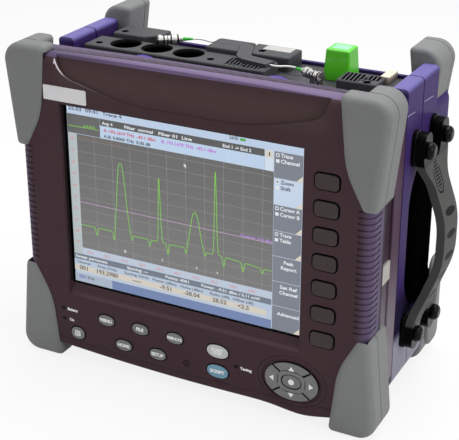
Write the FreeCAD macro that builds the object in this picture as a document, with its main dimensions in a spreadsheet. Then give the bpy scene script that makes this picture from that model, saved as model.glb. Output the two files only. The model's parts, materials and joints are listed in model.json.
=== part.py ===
import FreeCAD
import Part

import math
import os
from types import SimpleNamespace

import Sketcher
from FreeCAD import Rotation, Vector

# Portable optical test set: a base unit with the screen and the keys, two module slices behind it, a rubber
# bumper on each of the eight corners and a strap handle on the right-hand side.
#
# Millimetres, +Z up, the screen faces -Y, the origin lies on the floor under the middle of the whole outline.
# Shapes are drawn in the case frame: x = 0 in the middle of the case, y = 0 at the fronts of the front
# bumpers and z = 0 on the floor. The Placement of each sub-part moves it to the part's own frame.

# A number is a size that can be changed; a text is a formula on the other names.
DIMENSIONS = {
    # case outline
    "case_width": "=screen_width + 2 * screen_border + left_column + right_column",
    "case_depth": "=cover_back + bumper_overhang",
    "case_base": 10.0,
    "case_top": "=case_base + chin_height + screen_height + brow_height",
    "left_column": 42.4,
    "right_column": 58.4,
    "chin_height": 65.8,
    "brow_height": 44.8,
    "top_crown": 2.0,
    "base_bow": 6.0,
    "case_corner": 12.0,
    "wall": 3.0,
    "seat_clearance": 0.3,
    # planes along the depth, from the bumper fronts
    "bezel_front": 3.0,
    "bezel_back": "=bezel_front + bezel_depth",
    "base_front": "=bezel_back + neck_gap",
    "slice_front": "=base_front + base_depth",
    "slice_joint": "=slice_front + front_slice_depth",
    "slice_back": "=slice_joint + rear_slice_depth",
    "cover_back": "=slice_back + cover_depth",
    "bezel_depth": 26.0,
    "neck_gap": 2.0,
    "base_depth": 35.0,
    "front_slice_depth": 35.0,
    "rear_slice_depth": 35.0,
    "cover_depth": 36.0,
    # front bezel
    "edge_round": 9.0,
    "inner_round": 2.5,
    "scoop_half_width": "=case_width / 2 - scoop_margin",
    "scoop_margin": 38.5,
    "scoop_low": "=case_top - scoop_height",
    "scoop_height": 33.0,
    "scoop_flat": 110.0,
    "scoop_shoulder": 16.0,
    "scoop_round": 20.0,
    "scoop_sweep": 200.0,
    "scoop_depth": 6.0,
    "scoop_step": 0.8,
    "rib_count": 21.0,
    "rib_pitch": 5.1,
    "rib_depth": 0.9,
    "rib_width": 1.6,
    "rib_reach": 12.0,
    "rib_length": 17.0,
    "rib_drop": 10.0,
    # screen
    "screen_width": 211.2,
    "screen_height": 158.4,
    "screen_x": "=left_column + screen_border + screen_width / 2 - case_width / 2",
    "screen_z": "=case_base + chin_height + screen_height / 2",
    "screen_recess": 5.0,
    "screen_border": 1.5,
    "screen_flare": 1.5,
    "flare_overrun": 0.2,
    "screen_ledge": 11.5,
    "window_lip": 3.0,
    "window_thickness": 1.8,
    "panel_thickness": 8.0,
    # keys
    "key_proud": 1.2,
    "key_clearance": 0.5,
    "key_gap": 0.9,
    "key_rest_gap": 0.3,
    "key_travel": 1.2,
    "key_edge": 0.8,
    "oval_share": 0.46,
    "flange_width": 1.5,
    "flange_thickness": 2.0,
    "board_thickness": 1.6,
    "boss_radius": 3.0,
    "boss_offset": 17.5,
    "board_margin": 23.0,
    "board_low": "=case_base + board_rise",
    "board_rise": 10.0,
    "board_step": "=screen_z - screen_height / 2 - screen_border - screen_ledge",
    "softkey_x": "=case_width / 2 - softkey_inset",
    "softkey_inset": 37.5,
    "softkey_top_z": "=screen_z + screen_height / 2 - softkey_start",
    "softkey_start": 20.0,
    "softkey_end": 5.2,
    "softkey_count": 7.0,
    "softkey_pitch": "=(screen_height - softkey_start - softkey_end) / (softkey_count - 1)",
    "softkey_width": 20.0,
    "softkey_height": 13.0,
    "softkey_round": 4.0,
    "function_x": "=function_inset - case_width / 2",
    "function_inset": 78.0,
    "function_pitch": "=(action_x - function_x - action_gap) / 2",
    "function_width": 16.0,
    "function_height": 10.5,
    "upper_row_z": "=case_base + upper_row_rise",
    "upper_row_rise": 37.6,
    "lower_row_z": "=case_base + lower_row_rise",
    "lower_row_rise": 17.7,
    "power_x": "=power_inset - case_width / 2",
    "power_inset": 48.0,
    "power_width": 14.0,
    "power_height": 12.0,
    "action_x": "=nav_x - nav_offset",
    "action_gap": 40.3,
    "start_z": "=nav_z + action_rise",
    "script_z": "=nav_z - action_fall",
    "action_rise": 10.0,
    "action_fall": 9.0,
    "action_width": 20.0,
    "action_height": 12.5,
    "nav_x": "=case_width / 2 - nav_inset",
    "nav_inset": 62.5,
    "nav_offset": 67.0,
    "nav_z": "=case_base + nav_rise",
    "nav_rise": 26.0,
    "nav_width": 47.0,
    "nav_height": 34.0,
    "nav_recess": 2.6,
    "nav_recess_depth": 1.0,
    "nav_gap": 2.4,
    "enter_width": 17.0,
    "enter_height": 12.0,
    "light_radius": 1.6,
    "light_x": "=light_inset - case_width / 2",
    "light_inset": 34.0,
    "light_upper_z": "=case_base + light_upper_rise",
    "light_upper_rise": 39.0,
    "light_lower_z": "=case_base + light_lower_rise",
    "light_lower_rise": 29.0,
    "test_light_x": "=action_x + test_light_offset",
    "test_light_offset": 16.8,
    "test_light_z": "=nav_z",
    "speaker_x": "=action_x - speaker_offset",
    "speaker_offset": 29.7,
    "speaker_z": "=case_base + speaker_rise",
    "speaker_rise": 16.5,
    "speaker_pitch": 2.7,
    "speaker_radius": 0.8,
    "speaker_ring_count": 6.0,
    # base housing
    "tongue_length": 4.0,
    "base_inset": 3.0,
    "base_top": "=case_top - base_drop",
    "base_drop": 13.0,
    "ridge_start": 17.0,
    "ridge_inset": 1.0,
    "catch_x": 59.0,
    "catch_width": 25.0,
    "catch_top": "=case_top + catch_rise",
    "catch_rise": 1.5,
    "catch_setback": 1.5,
    "catch_length": 12.0,
    "tab_height": 16.0,
    "tab_width": 16.0,
    "tab_proud": 2.0,
    "tab_z": "=screen_z - tab_drop",
    "tab_drop": 24.0,
    "main_board_width": "=case_width - 2 * main_board_inset",
    "main_board_inset": 26.5,
    "main_board_height": "=screen_height + 2 * main_board_reach",
    "main_board_reach": 15.8,
    "main_board_gap": 16.0,
    "battery_width": 150.0,
    "battery_height": 70.0,
    "battery_thickness": 9.0,
    # module slices
    "slice_width": "=case_width - 2 * slice_inset",
    "slice_inset": 0.5,
    "slice_base": 9.0,
    "slice_top": "=case_top - slice_drop",
    "slice_drop": 7.0,
    "slice_wall": 15.0,
    "slice_floor": 6.0,
    "slice_edge": 3.5,
    "joint_chamfer": 1.0,
    "bay_half": "=slice_width / 2 - slice_wall",
    "deck_top": "=case_top - deck_drop",
    "deck_drop": 17.0,
    "end_wall": 4.0,
    "lip_top": "=case_top - lip_drop",
    "lip_drop": 19.0,
    "cover_drop": 14.0,
    "cover_boss": 4.0,
    "cover_round": 5.0,
    "vent_count": 12.0,
    "vent_pitch": 8.0,
    "vent_slot": 3.5,
    "vent_length": 90.0,
    # modules and what stands on them
    "module_top": "=case_top - module_drop",
    "module_drop": 21.5,
    "module_clearance": 0.5,
    "plate_top": "=module_top + plate_height",
    "plate_height": 9.1,
    "cover_top": "=module_top + cover_height",
    "cover_height": 12.1,
    "socket_radius": 13.5,
    "socket_x": "=plate_left + socket_inset",
    "socket_inset": 31.5,
    "socket_count": 3.0,
    "socket_pitch": 30.4,
    "socket_y": "=(plate_front + plate_back) / 2 + socket_shift",
    "socket_shift": 2.95,
    "socket_depth": 22.0,
    "plate_left": "=plate_margin - bay_half",
    "plate_margin": 6.0,
    "plate_right": "=plate_left + plate_length",
    "plate_length": 169.5,
    "plate_front": "=slice_front + plate_setback",
    "plate_setback": 6.0,
    "plate_back": "=slice_joint - module_clearance",
    "louvre_count": 7.0,
    "louvre_pitch": 4.6,
    "louvre_width": 1.8,
    "louvre_length": 15.0,
    "louvre_angle": 35.0,
    "louvre_depth": 4.0,
    "louvre_x": "=plate_right - louvre_inset",
    "louvre_inset": 33.5,
    "deck_corner": 2.0,
    "deck_edge": 0.8,
    "rear_plate_front": "=slice_joint + rear_plate_gap",
    "rear_plate_gap": 3.0,
    "corner_left": "=corner_margin - bay_half",
    "corner_margin": 15.0,
    "corner_right": "=corner_left + corner_length",
    "corner_length": 43.0,
    "corner_chamfer": 12.5,
    "centre_left": -36.0,
    "centre_right": -2.0,
    "block_left": -0.5,
    "block_right": 40.5,
    "guide_back_y": "=slice_joint + guide_reach",
    "guide_reach": 22.5,
    "guide_turn_x": -6.0,
    "guide_neck_x": 5.0,
    "guide_neck_y": "=slice_joint - guide_neck",
    "guide_neck": 8.5,
    "guide_end_x": 32.0,
    "guide_end_y": "=slice_joint - guide_fall",
    "guide_fall": 14.0,
    "guide_bend": 12.0,
    "guide_width": 12.0,
    "guide_thickness": 3.0,
    "guide_clearance": 0.4,
    "channel_width": 2.6,
    "channel_depth": 2.2,
    "vent_block_right": "=bay_half - vent_block_margin",
    "vent_block_margin": 13.5,
    "vent_block_left": "=vent_block_right - vent_block_length",
    "vent_block_length": 33.5,
    "vent_block_back": "=slice_joint - vent_block_gap",
    "vent_block_gap": 5.5,
    "connector_radius": 4.2,
    "ferrule_radius": 2.6,
    "body_radius": 3.4,
    "nut_length": 3.5,
    "body_length": 8.0,
    "sleeve_length": 7.0,
    "ferrule_length": 3.5,
    "foot_width": 4.2,
    "boot_radius": 1.9,
    "boot_length": 9.0,
    "connector_z": "=module_top + connector_height",
    "connector_height": 10.5,
    "left_connector_x": "=corner_right - left_connector_tuck",
    "left_connector_tuck": 0.5,
    "left_connector_y": "=slice_joint + left_connector_reach",
    "left_connector_reach": 5.5,
    "left_connector_angle": 32.0,
    "right_connector_x": "=bay_half - right_connector_margin",
    "right_connector_margin": 60.1,
    "right_connector_y": "=slice_front + right_connector_reach",
    "right_connector_reach": 8.9,
    "right_connector_angle": 154.0,
    "fibre_radius": 0.8,
    "fibre_bend": 11.5,
    "fibre_lead_in": 6.3,
    "cap_x": "=bay_half - cap_margin",
    "cap_margin": 59.0,
    "cap_y": "=slice_joint + cap_reach",
    "cap_reach": 12.0,
    "cap_width": 23.0,
    "cap_length": 23.0,
    "cap_height": 25.0,
    "cap_taper": 1.5,
    "cap_wall": 2.0,
    "cap_clearance": 0.4,
    "cap_round": 2.0,
    "cap_edge": 1.5,
    # bumpers
    "bumper_side": 11.5,
    "bumper_top": "=case_top + bumper_rise",
    "bumper_rise": 4.0,
    "bumper_height": 88.0,
    "bumper_width": 42.0,
    "bumper_tail": 28.0,
    "bumper_tip": 20.0,
    "bumper_taper": 9.0,
    "bumper_knee_share": 0.66,
    "bumper_draw": 6.0,
    "bumper_sweep": 70.0,
    "bumper_corner": 15.0,
    "bumper_edge": 4.0,
    "bumper_round": 6.0,
    "front_bumper_depth": 39.0,
    "rear_bumper_height": 69.0,
    "rear_bumper_width": 30.0,
    "rear_bumper_side": 3.0,
    "bumper_overhang": 4.0,
    "seam_width": 0.8,
    "seam_depth": 0.8,
    "seam_offset": 17.0,
    "rear_seam_offset": 11.0,
    # hand well and handle
    "well_y": "=slice_front + well_front_margin + well_width / 2",
    "well_width": "=cover_back + well_overrun - slice_front - well_front_margin",
    "well_front_margin": 18.0,
    "well_overrun": 45.0,
    "well_z": "=(stud_upper_z + stud_lower_z) / 2",
    "well_height": "=stud_upper_z - stud_lower_z - 2 * well_stud_gap",
    "well_stud_gap": 14.5,
    "well_corner": 38.0,
    "well_fillet": 5.0,
    "well_depth": 9.0,
    "liner_thickness": 1.6,
    "stud_front_y": "=slice_front + stud_front_inset",
    "stud_front_inset": 20.0,
    "stud_rear_y": "=slice_back - stud_rear_inset",
    "stud_rear_inset": 8.0,
    "stud_upper_z": "=case_top - stud_upper_drop",
    "stud_upper_drop": 60.0,
    "stud_lower_z": "=case_base + stud_lower_rise",
    "stud_lower_rise": 48.0,
    "stem_radius": 3.0,
    "stem_clearance": 0.2,
    "stem_seat": 6.0,
    "head_radius": 7.0,
    "head_height": 6.0,
    "head_seat_round": 1.2,
    "head_crown_round": 4.2,
    "lug_height": 30.0,
    "lug_width": 14.0,
    "lug_thickness": 4.0,
    "lug_edge": 1.3,
    "strap_standoff": 21.5,
    "strap_thickness": 7.0,
    "strap_grip": 32.0,
    "strap_end": 14.0,
    "strap_rise": "=strap_rise_share * (stud_upper_z - stud_lower_z - 2 * strap_end)",
    "strap_rise_share": 0.361,
    "strap_bend": 70.0,
    "strap_flare": 8.0,
    "strap_arm": 18.0,
    "strap_notch": 26.0,
    "strap_gap": 0.3,
    # rear cover screws
    "screw_radius": 1.6,
    "screw_head_radius": 3.4,
    "screw_head_height": 1.8,
    "screw_length": "=cover_depth + end_wall - module_clearance",
    "screw_inset": 46.0,
}

doc = FreeCAD.newDocument("OpticalTestSet")
sheet = doc.addObject("Spreadsheet::Sheet", "Dims")
for row, alias in enumerate(DIMENSIONS, start=1):
    sheet.set(f"A{row}", alias)
    sheet.setAlias(f"B{row}", alias)
for row, content in enumerate(DIMENSIONS.values(), start=1):
    sheet.set(f"B{row}", str(content))
doc.recompute()
d = SimpleNamespace(**{alias: float(sheet.get(alias)) for alias in DIMENSIONS})

# places in the case frame, as expressions on the sheet
WINDOW_FRONT = "Dims.bezel_front + Dims.screen_recess"
FLANGE_FRONT = "Dims.bezel_front + Dims.wall + Dims.key_rest_gap"
FLANGE_BACK = f"{FLANGE_FRONT} + Dims.flange_thickness"
BOARD_FRONT = f"{FLANGE_BACK} + Dims.key_travel + Dims.key_rest_gap"
MAIN_BOARD_FRONT = "Dims.base_front + Dims.main_board_gap"
OPENING_WIDTH = "Dims.screen_width + 2 * Dims.screen_border"
OPENING_HEIGHT = "Dims.screen_height + 2 * Dims.screen_border"
WINDOW_WIDTH = f"{OPENING_WIDTH} + 2 * Dims.window_lip"
WINDOW_HEIGHT = f"{OPENING_HEIGHT} + 2 * Dims.window_lip"
BAY_WIDTH = "2 * Dims.bay_half - 2 * Dims.module_clearance"
BAY_FLOOR = "Dims.slice_base + Dims.slice_floor"
SOCKET_FLOOR = "Dims.plate_top - Dims.socket_depth"
POST_WIDTH = "Dims.cap_width - 2 * Dims.cap_taper - 2 * Dims.cap_wall - 2 * Dims.cap_clearance"
POST_LENGTH = "Dims.cap_length - 2 * Dims.cap_taper - 2 * Dims.cap_wall - 2 * Dims.cap_clearance"
POST_HEIGHT = "Dims.cap_height - Dims.cap_wall - Dims.cap_clearance"
REACH = "Dims.slice_width / 2 + Dims.strap_standoff + Dims.strap_thickness"
CASE_X = f"-({REACH} - Dims.case_width / 2 - Dims.bumper_side) / 2"
CASE_Y = "-Dims.case_depth / 2"


def value(expression):
    """The number that an expression on the sheet stands for."""
    return float(sheet.evalExpression(expression))


bezel_inside = d.bezel_front + d.wall
window_front = value(WINDOW_FRONT)
flange_front = value(FLANGE_FRONT)
flange_back = value(FLANGE_BACK)
board_front = value(BOARD_FRONT)
side_face = d.slice_width / 2
cover_high = d.lip_top - d.cover_drop
guide_low = d.cover_top - d.guide_thickness

# every key with a rounded rectangular cap: name, place across and up, width, height and corner radius
def oval(size):
    """Width, height and corner radius of a key with almost half-round ends."""
    return f"Dims.{size}_width", f"Dims.{size}_height", f"Dims.oval_share * Dims.{size}_height"


SOFT = ("Dims.softkey_width", "Dims.softkey_height", "Dims.softkey_round")
KEYS = [
    ("power_key", "Dims.power_x", "Dims.lower_row_z", *oval("power")),
    ("start_key", "Dims.action_x", "Dims.start_z", *oval("action")),
    ("script_key", "Dims.action_x", "Dims.script_z", *oval("action")),
    ("nav_enter", "Dims.nav_x", "Dims.nav_z", *oval("enter")),
]
for number in range(int(d.softkey_count)):
    key_z = f"Dims.softkey_top_z - {number} * Dims.softkey_pitch"
    KEYS.append((f"softkey_{number + 1}", "Dims.softkey_x", key_z, *SOFT))
for number in range(3):
    key_x = f"Dims.function_x + {number} * Dims.function_pitch"
    KEYS.append((f"function_key_{number + 1}", key_x, "Dims.upper_row_z", *oval("function")))
for number in range(2):
    key_x = f"Dims.function_x + {number + 0.5} * Dims.function_pitch"
    KEYS.append((f"function_key_{number + 4}", key_x, "Dims.lower_row_z", *oval("function")))

# points and edges nearer than this are taken as the same
TOUCH = 1e-4

subparts = []


def place(solid, label, x="0", y="0", z="0"):
    """Names a finished sub-part and moves it from the case frame to the part's own frame."""
    solid.Label = label
    solid.setExpression("Placement.Base.x", f"{CASE_X} + {x}")
    solid.setExpression("Placement.Base.y", f"{CASE_Y} + {y}")
    solid.setExpression("Placement.Base.z", z)
    subparts.append(solid)


def feature(label, shape):
    """A sub-part whose shape is drawn with Part's own functions from the sheet's values."""
    solid = doc.addObject("Part::Feature", label)
    solid.Shape = shape
    place(solid, label)


def box(name, size, corner):
    """A box with its size and its low corner given as expressions."""
    solid = doc.addObject("Part::Box", name)
    for side, expression in zip(("Length", "Width", "Height"), size):
        solid.setExpression(side, expression)
    for axis, expression in zip("xyz", corner):
        solid.setExpression(f"Placement.Base.{axis}", expression)
    return solid


def cylinder(name, radius, height, base, turn):
    """A cylinder from its base point, its axis turned away from +Z by the rotation given."""
    solid = doc.addObject("Part::Cylinder", name)
    solid.setExpression("Radius", radius)
    solid.setExpression("Height", height)
    solid.Placement.Rotation = turn
    for axis, expression in zip("xyz", base):
        solid.setExpression(f"Placement.Base.{axis}", expression)
    return solid


def group(name, members):
    """One object for a set of like pieces."""
    compound = doc.addObject("Part::Compound", name)
    compound.Links = members
    return compound


def cut(name, base, tool):
    """The base with the tool taken out of it."""
    result = doc.addObject("Part::Cut", name)
    result.Base = base
    result.Tool = tool
    return result


def rounded_edges(points, radii, closed=True):
    """Lines along a polygon, with an arc at each corner that has a radius.

    An arc of radius r touches both lines r / tan(half the corner's angle) away from the corner.
    """
    count = len(points)
    spans = []
    for index, point in enumerate(points):
        is_end = not closed and index in (0, count - 1)
        if is_end or radii[index] == 0:
            spans.append((point, None, point))
            continue
        back = (points[index - 1] - point).normalize()
        ahead = (points[(index + 1) % count] - point).normalize()
        half_angle = back.getAngle(ahead) / 2
        reach = radii[index] / math.tan(half_angle)
        middle = (back + ahead).normalize()
        crown = point + middle * (radii[index] / math.sin(half_angle) - radii[index])
        spans.append((point + back * reach, crown, point + ahead * reach))
    edges = []
    for index, (start, crown, end) in enumerate(spans):
        if crown is not None:
            edges.append(Part.Arc(start, crown, end).toShape())
        if index < count - 1 or closed:
            following = spans[(index + 1) % count][0]
            if end.distanceToPoint(following) > TOUCH:
                edges.append(Part.LineSegment(end, following).toShape())
    return edges


def rounded_face(points, radii):
    """The flat face inside a polygon with rounded corners; one radius serves every corner."""
    if not isinstance(radii, list):
        radii = [radii] * len(points)
    return Part.Face(Part.Wire(rounded_edges(points, radii)))


def band_face(points, bend, width, normal):
    """The flat band of a width along a path whose corners are rounded with the radius bend."""
    sides = []
    for side in (-1, 1):
        shift = side * width / 2
        edge_points = []
        radii = []
        for index, point in enumerate(points):
            before = points[max(index - 1, 0)]
            after = points[min(index + 1, len(points) - 1)]
            ahead_in = (point - before).normalize() if index > 0 else (after - point).normalize()
            ahead_out = (after - point).normalize() if index < len(points) - 1 else ahead_in
            left_in = normal.cross(ahead_in)
            left_out = normal.cross(ahead_out)
            miter = (left_in + left_out) * (1 / (1 + left_in.dot(left_out)))
            edge_points.append(point + miter * shift)
            turn = normal.dot(ahead_in.cross(ahead_out))
            radii.append(bend - abs(shift) if turn * shift > 0 else bend + abs(shift))
        sides.append(rounded_edges(edge_points, radii, closed=False))
    low, high = Part.Wire(sides[0]), Part.Wire(sides[1])
    ends = [
        Part.LineSegment(low.OrderedVertexes[0].Point, high.OrderedVertexes[0].Point).toShape(),
        Part.LineSegment(low.OrderedVertexes[-1].Point, high.OrderedVertexes[-1].Point).toShape(),
    ]
    return Part.Face(Part.Wire(Part.__sortEdges__(sides[0] + sides[1] + ends)))


def upright(centre_x, centre_z, width, height, y):
    """The four corners of an upright rectangle across the case."""
    left, right = centre_x - width / 2, centre_x + width / 2
    low, high = centre_z - height / 2, centre_z + height / 2
    return [Vector(left, y, low), Vector(right, y, low), Vector(right, y, high), Vector(left, y, high)]


def level(left, right, front, back, z):
    """The four corners of a level rectangle."""
    return [Vector(left, front, z), Vector(right, front, z), Vector(right, back, z), Vector(left, back, z)]


def block(low_x, high_x, low_y, high_y, low_z, high_z):
    """A plain block between two corners."""
    return Part.makeBox(high_x - low_x, high_y - low_y, high_z - low_z, Vector(low_x, low_y, low_z))


def bar(radius, start_y, end_y, x, z):
    """A round bar along the depth of the case."""
    return Part.makeCylinder(radius, end_y - start_y, Vector(x, start_y, z), Vector(0, 1, 0))


def side_bar(radius, start_x, end_x, y, z):
    """A round bar across the case."""
    return Part.makeCylinder(radius, end_x - start_x, Vector(start_x, y, z), Vector(1, 0, 0))


def ellipse_prism(centre_x, centre_z, width, height, start_y, end_y):
    """An upright elliptical bar along the depth of the case."""
    centre = Vector(centre_x, start_y, centre_z)
    across = Vector(centre_x + width / 2, start_y, centre_z)
    up = Vector(centre_x, start_y, centre_z + height / 2)
    edge = Part.Ellipse(across, up, centre).toShape()
    return Part.Face(Part.Wire([edge])).extrude(Vector(0, end_y - start_y, 0))


def edges_in_plane(shape, axis, position):
    """The edges of a shape that lie in the plane across an axis (X, Y or Z) at a position."""
    low, high = f"{axis}Min", f"{axis}Max"
    near = [e for e in shape.Edges if abs(getattr(e.BoundBox, low) - position) < TOUCH]
    return [e for e in near if abs(getattr(e.BoundBox, high) - position) < TOUCH]


def bowed_block(inset, start, end, top):
    """The case outline up to a top, drawn in by inset: a crowned top, a bowed base and round corners."""
    half = d.case_width / 2 - inset
    low = d.case_base + inset
    high = top - inset
    left_foot, right_foot = Vector(-half, start, low + d.base_bow), Vector(half, start, low + d.base_bow)
    left_top, right_top = Vector(-half, start, high - d.top_crown), Vector(half, start, high - d.top_crown)
    outline = [
        Part.Arc(left_foot, Vector(0, start, low), right_foot).toShape(),
        Part.LineSegment(right_foot, right_top).toShape(),
        Part.Arc(right_top, Vector(0, start, high), left_top).toShape(),
        Part.LineSegment(left_top, left_foot).toShape(),
    ]
    solid = Part.Face(Part.Wire(outline)).extrude(Vector(0, end - start, 0))
    corners = [e for e in solid.Edges if e.BoundBox.YLength > TOUCH and e.BoundBox.XLength < TOUCH]
    return solid.makeFillet(d.case_corner - inset, corners)


def screen_opening():
    """The tapered hole round the screen, wider in front, with the deeper slope along its lower edge."""
    wires = []
    for share in (-d.flare_overrun, 1 + d.flare_overrun):
        flare = d.screen_flare * (1 - share)
        ledge = d.screen_ledge * (1 - share)
        half = value(OPENING_WIDTH) / 2 + flare
        low = d.screen_z - value(OPENING_HEIGHT) / 2 - ledge
        high = d.screen_z + value(OPENING_HEIGHT) / 2 + flare
        y = d.bezel_front + share * d.screen_recess
        corners = upright(d.screen_x, (low + high) / 2, 2 * half, high - low, y)
        wires.append(Part.makePolygon(corners + corners[:1]))
    return Part.makeLoft(wires, True, True)


def bezel_scoop():
    """The smile-shaped hollow along the top of the bezel, which leans back towards the top edge."""
    above = d.case_top + d.edge_round
    half, flat = d.scoop_half_width, d.scoop_flat / 2
    shoulder = d.scoop_low + d.scoop_shoulder
    outline = [
        Vector(-half, 0, above),
        Vector(-half, 0, shoulder),
        Vector(-flat, 0, d.scoop_low),
        Vector(flat, 0, d.scoop_low),
        Vector(half, 0, shoulder),
        Vector(half, 0, above),
    ]
    radii = [0, d.scoop_round, d.scoop_sweep, d.scoop_sweep, d.scoop_round, 0]
    smile = rounded_face(outline, radii).extrude(Vector(0, d.bezel_back, 0))
    lean = (d.scoop_depth - d.scoop_step) / (d.case_top - d.scoop_low)
    low_y = d.bezel_front + d.scoop_step
    high_y = low_y + lean * (above - d.scoop_low)
    leaning = [
        Vector(-half, 0, d.scoop_low),
        Vector(-half, low_y, d.scoop_low),
        Vector(-half, high_y, above),
        Vector(-half, 0, above),
    ]
    return smile.common(rounded_face(leaning, 0).extrude(Vector(2 * half, 0, 0)))


def board_bosses():
    """The places across and up of the posts that carry the key board."""
    right = d.softkey_x + d.boss_offset
    low = d.softkey_top_z - (d.softkey_count - 1) * d.softkey_pitch
    between = [d.function_x + (number + 0.5) * d.function_pitch for number in range(2)]
    return [(right, d.softkey_top_z), (right, low)] + [(x, d.upper_row_z) for x in between]


def speaker_holes():
    """The places of the speaker's holes: one in the middle and a ring round it."""
    places = [(d.speaker_x, d.speaker_z)]
    for number in range(int(d.speaker_ring_count)):
        angle = math.tau * number / d.speaker_ring_count
        x = d.speaker_x + d.speaker_pitch * math.cos(angle)
        places.append((x, d.speaker_z + d.speaker_pitch * math.sin(angle)))
    return places


NAV_INNER = 2 * (d.key_clearance + d.flange_width)
LIGHTS = [
    ("Dims.light_x", "Dims.light_upper_z"),
    ("Dims.light_x", "Dims.light_lower_z"),
    ("Dims.test_light_x", "Dims.test_light_z"),
]


def nav_ring(grow):
    """The rounded outline round the enter key, grown on every side, as a bar through the bezel."""
    wide, high = d.enter_width + 2 * grow, d.enter_height + 2 * grow
    outline = upright(d.nav_x, d.nav_z, wide, high, 0)
    return rounded_face(outline, d.oval_share * high).extrude(Vector(0, flange_back + d.wall, 0))


def nav_spider():
    """The ring that keeps the enter key in, with four spokes to the bezel between the arrow keys."""
    half = d.nav_gap / 2 - d.key_clearance
    slope = math.hypot(d.nav_width, d.nav_height)
    spokes = []
    for side in (-1, 1):
        reach = Vector(side * d.nav_width, 0, d.nav_height)
        aside = Vector(-side * d.nav_height, 0, d.nav_width) * (half / slope)
        centre = Vector(d.nav_x, 0, d.nav_z)
        corners = [centre - reach - aside, centre + reach - aside]
        corners += [centre + reach + aside, centre - reach + aside]
        spokes.append(rounded_face(corners, 0).extrude(Vector(0, bezel_inside, 0)))
    ring = nav_ring(NAV_INNER - d.key_clearance)
    spider = ring.fuse(spokes).cut(nav_ring(d.key_clearance))
    return spider.common(block(-d.case_width, d.case_width, 0, bezel_inside, 0, d.case_top))


def soft_front(inset, top, radius):
    """The case outline from the front plane back, drawn in by inset, with its front edges rounded."""
    start = d.bezel_front + inset
    solid = bowed_block(inset, start, d.bezel_back + inset, top)
    return solid.makeFillet(radius, edges_in_plane(solid, "Y", start))


def side_grooves():
    """The grooves between the grip ribs, which run from the front round both sides of the bezel."""
    half = d.case_width / 2
    rib_back = d.bezel_front + d.rib_length
    slots = []
    for number in range(int(d.rib_count)):
        z = d.screen_z - d.rib_drop + (number - (d.rib_count - 1) / 2) * d.rib_pitch
        low, high = z - d.rib_width / 2, z + d.rib_width / 2
        slots.append(block(half - d.rib_reach, half + 1, 0, rib_back, low, high))
        slots.append(block(-half - 1, d.rib_reach - half, 0, rib_back, low, high))
    core = soft_front(d.rib_depth, d.case_top, d.edge_round - d.rib_depth)
    return [slot.cut(core) for slot in slots]


def make_bezel():
    """The moulded front: a shell with the screen opening, key holes, the scoop and ribs on its sides."""
    solid = soft_front(0, d.case_top, d.edge_round)
    below_scoop = block(-d.case_width, d.case_width, 0, d.case_depth, 0, d.scoop_low - d.wall)
    shallow = soft_front(d.wall, d.base_top, d.inner_round).common(below_scoop)
    deep = bowed_block(d.wall, bezel_inside + d.scoop_depth, d.bezel_back + d.wall, d.base_top)
    ledge_foot = d.screen_z - value(OPENING_HEIGHT) / 2 - d.screen_ledge
    frame_top = d.screen_z + value(WINDOW_HEIGHT) / 2
    frame_middle = (ledge_foot + frame_top) / 2
    outline = upright(d.screen_x, frame_middle, value(WINDOW_WIDTH), frame_top - ledge_foot, bezel_inside)
    frame = rounded_face(outline, 0).extrude(Vector(0, window_front - bezel_inside, 0))
    posts = [bar(d.boss_radius, bezel_inside, board_front, x, z) for x, z in board_bosses()]
    shell = solid.cut(shallow.fuse(deep)).fuse([frame] + posts)

    holes = [screen_opening(), bezel_scoop()]
    for _, x, z, width, height, radius in KEYS:
        if x == "Dims.nav_x":
            continue
        outline = upright(value(x), value(z), value(width) + 2 * d.key_gap, value(height) + 2 * d.key_gap, 0)
        face = rounded_face(outline, value(radius) + d.key_gap)
        holes.append(face.extrude(Vector(0, bezel_inside + d.key_clearance, 0)))
    wide, high = d.nav_width + 2 * d.key_clearance, d.nav_height + 2 * d.key_clearance
    nav_hole = ellipse_prism(d.nav_x, d.nav_z, wide, high, 0, bezel_inside + d.key_clearance)
    holes.append(nav_hole.cut(nav_spider()))
    recess_end = d.bezel_front + d.nav_recess_depth
    wide, high = wide + 2 * d.nav_recess, high + 2 * d.nav_recess
    holes.append(ellipse_prism(d.nav_x, d.nav_z, wide, high, 0, recess_end))
    for x, z in LIGHTS:
        holes.append(bar(d.light_radius + d.seat_clearance / 2, 0, bezel_inside + d.wall, value(x), value(z)))
    for x, z in speaker_holes():
        holes.append(bar(d.speaker_radius, 0, bezel_inside + d.wall, x, z))
    feature("front_bezel", shell.cut(holes + side_grooves()))


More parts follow.
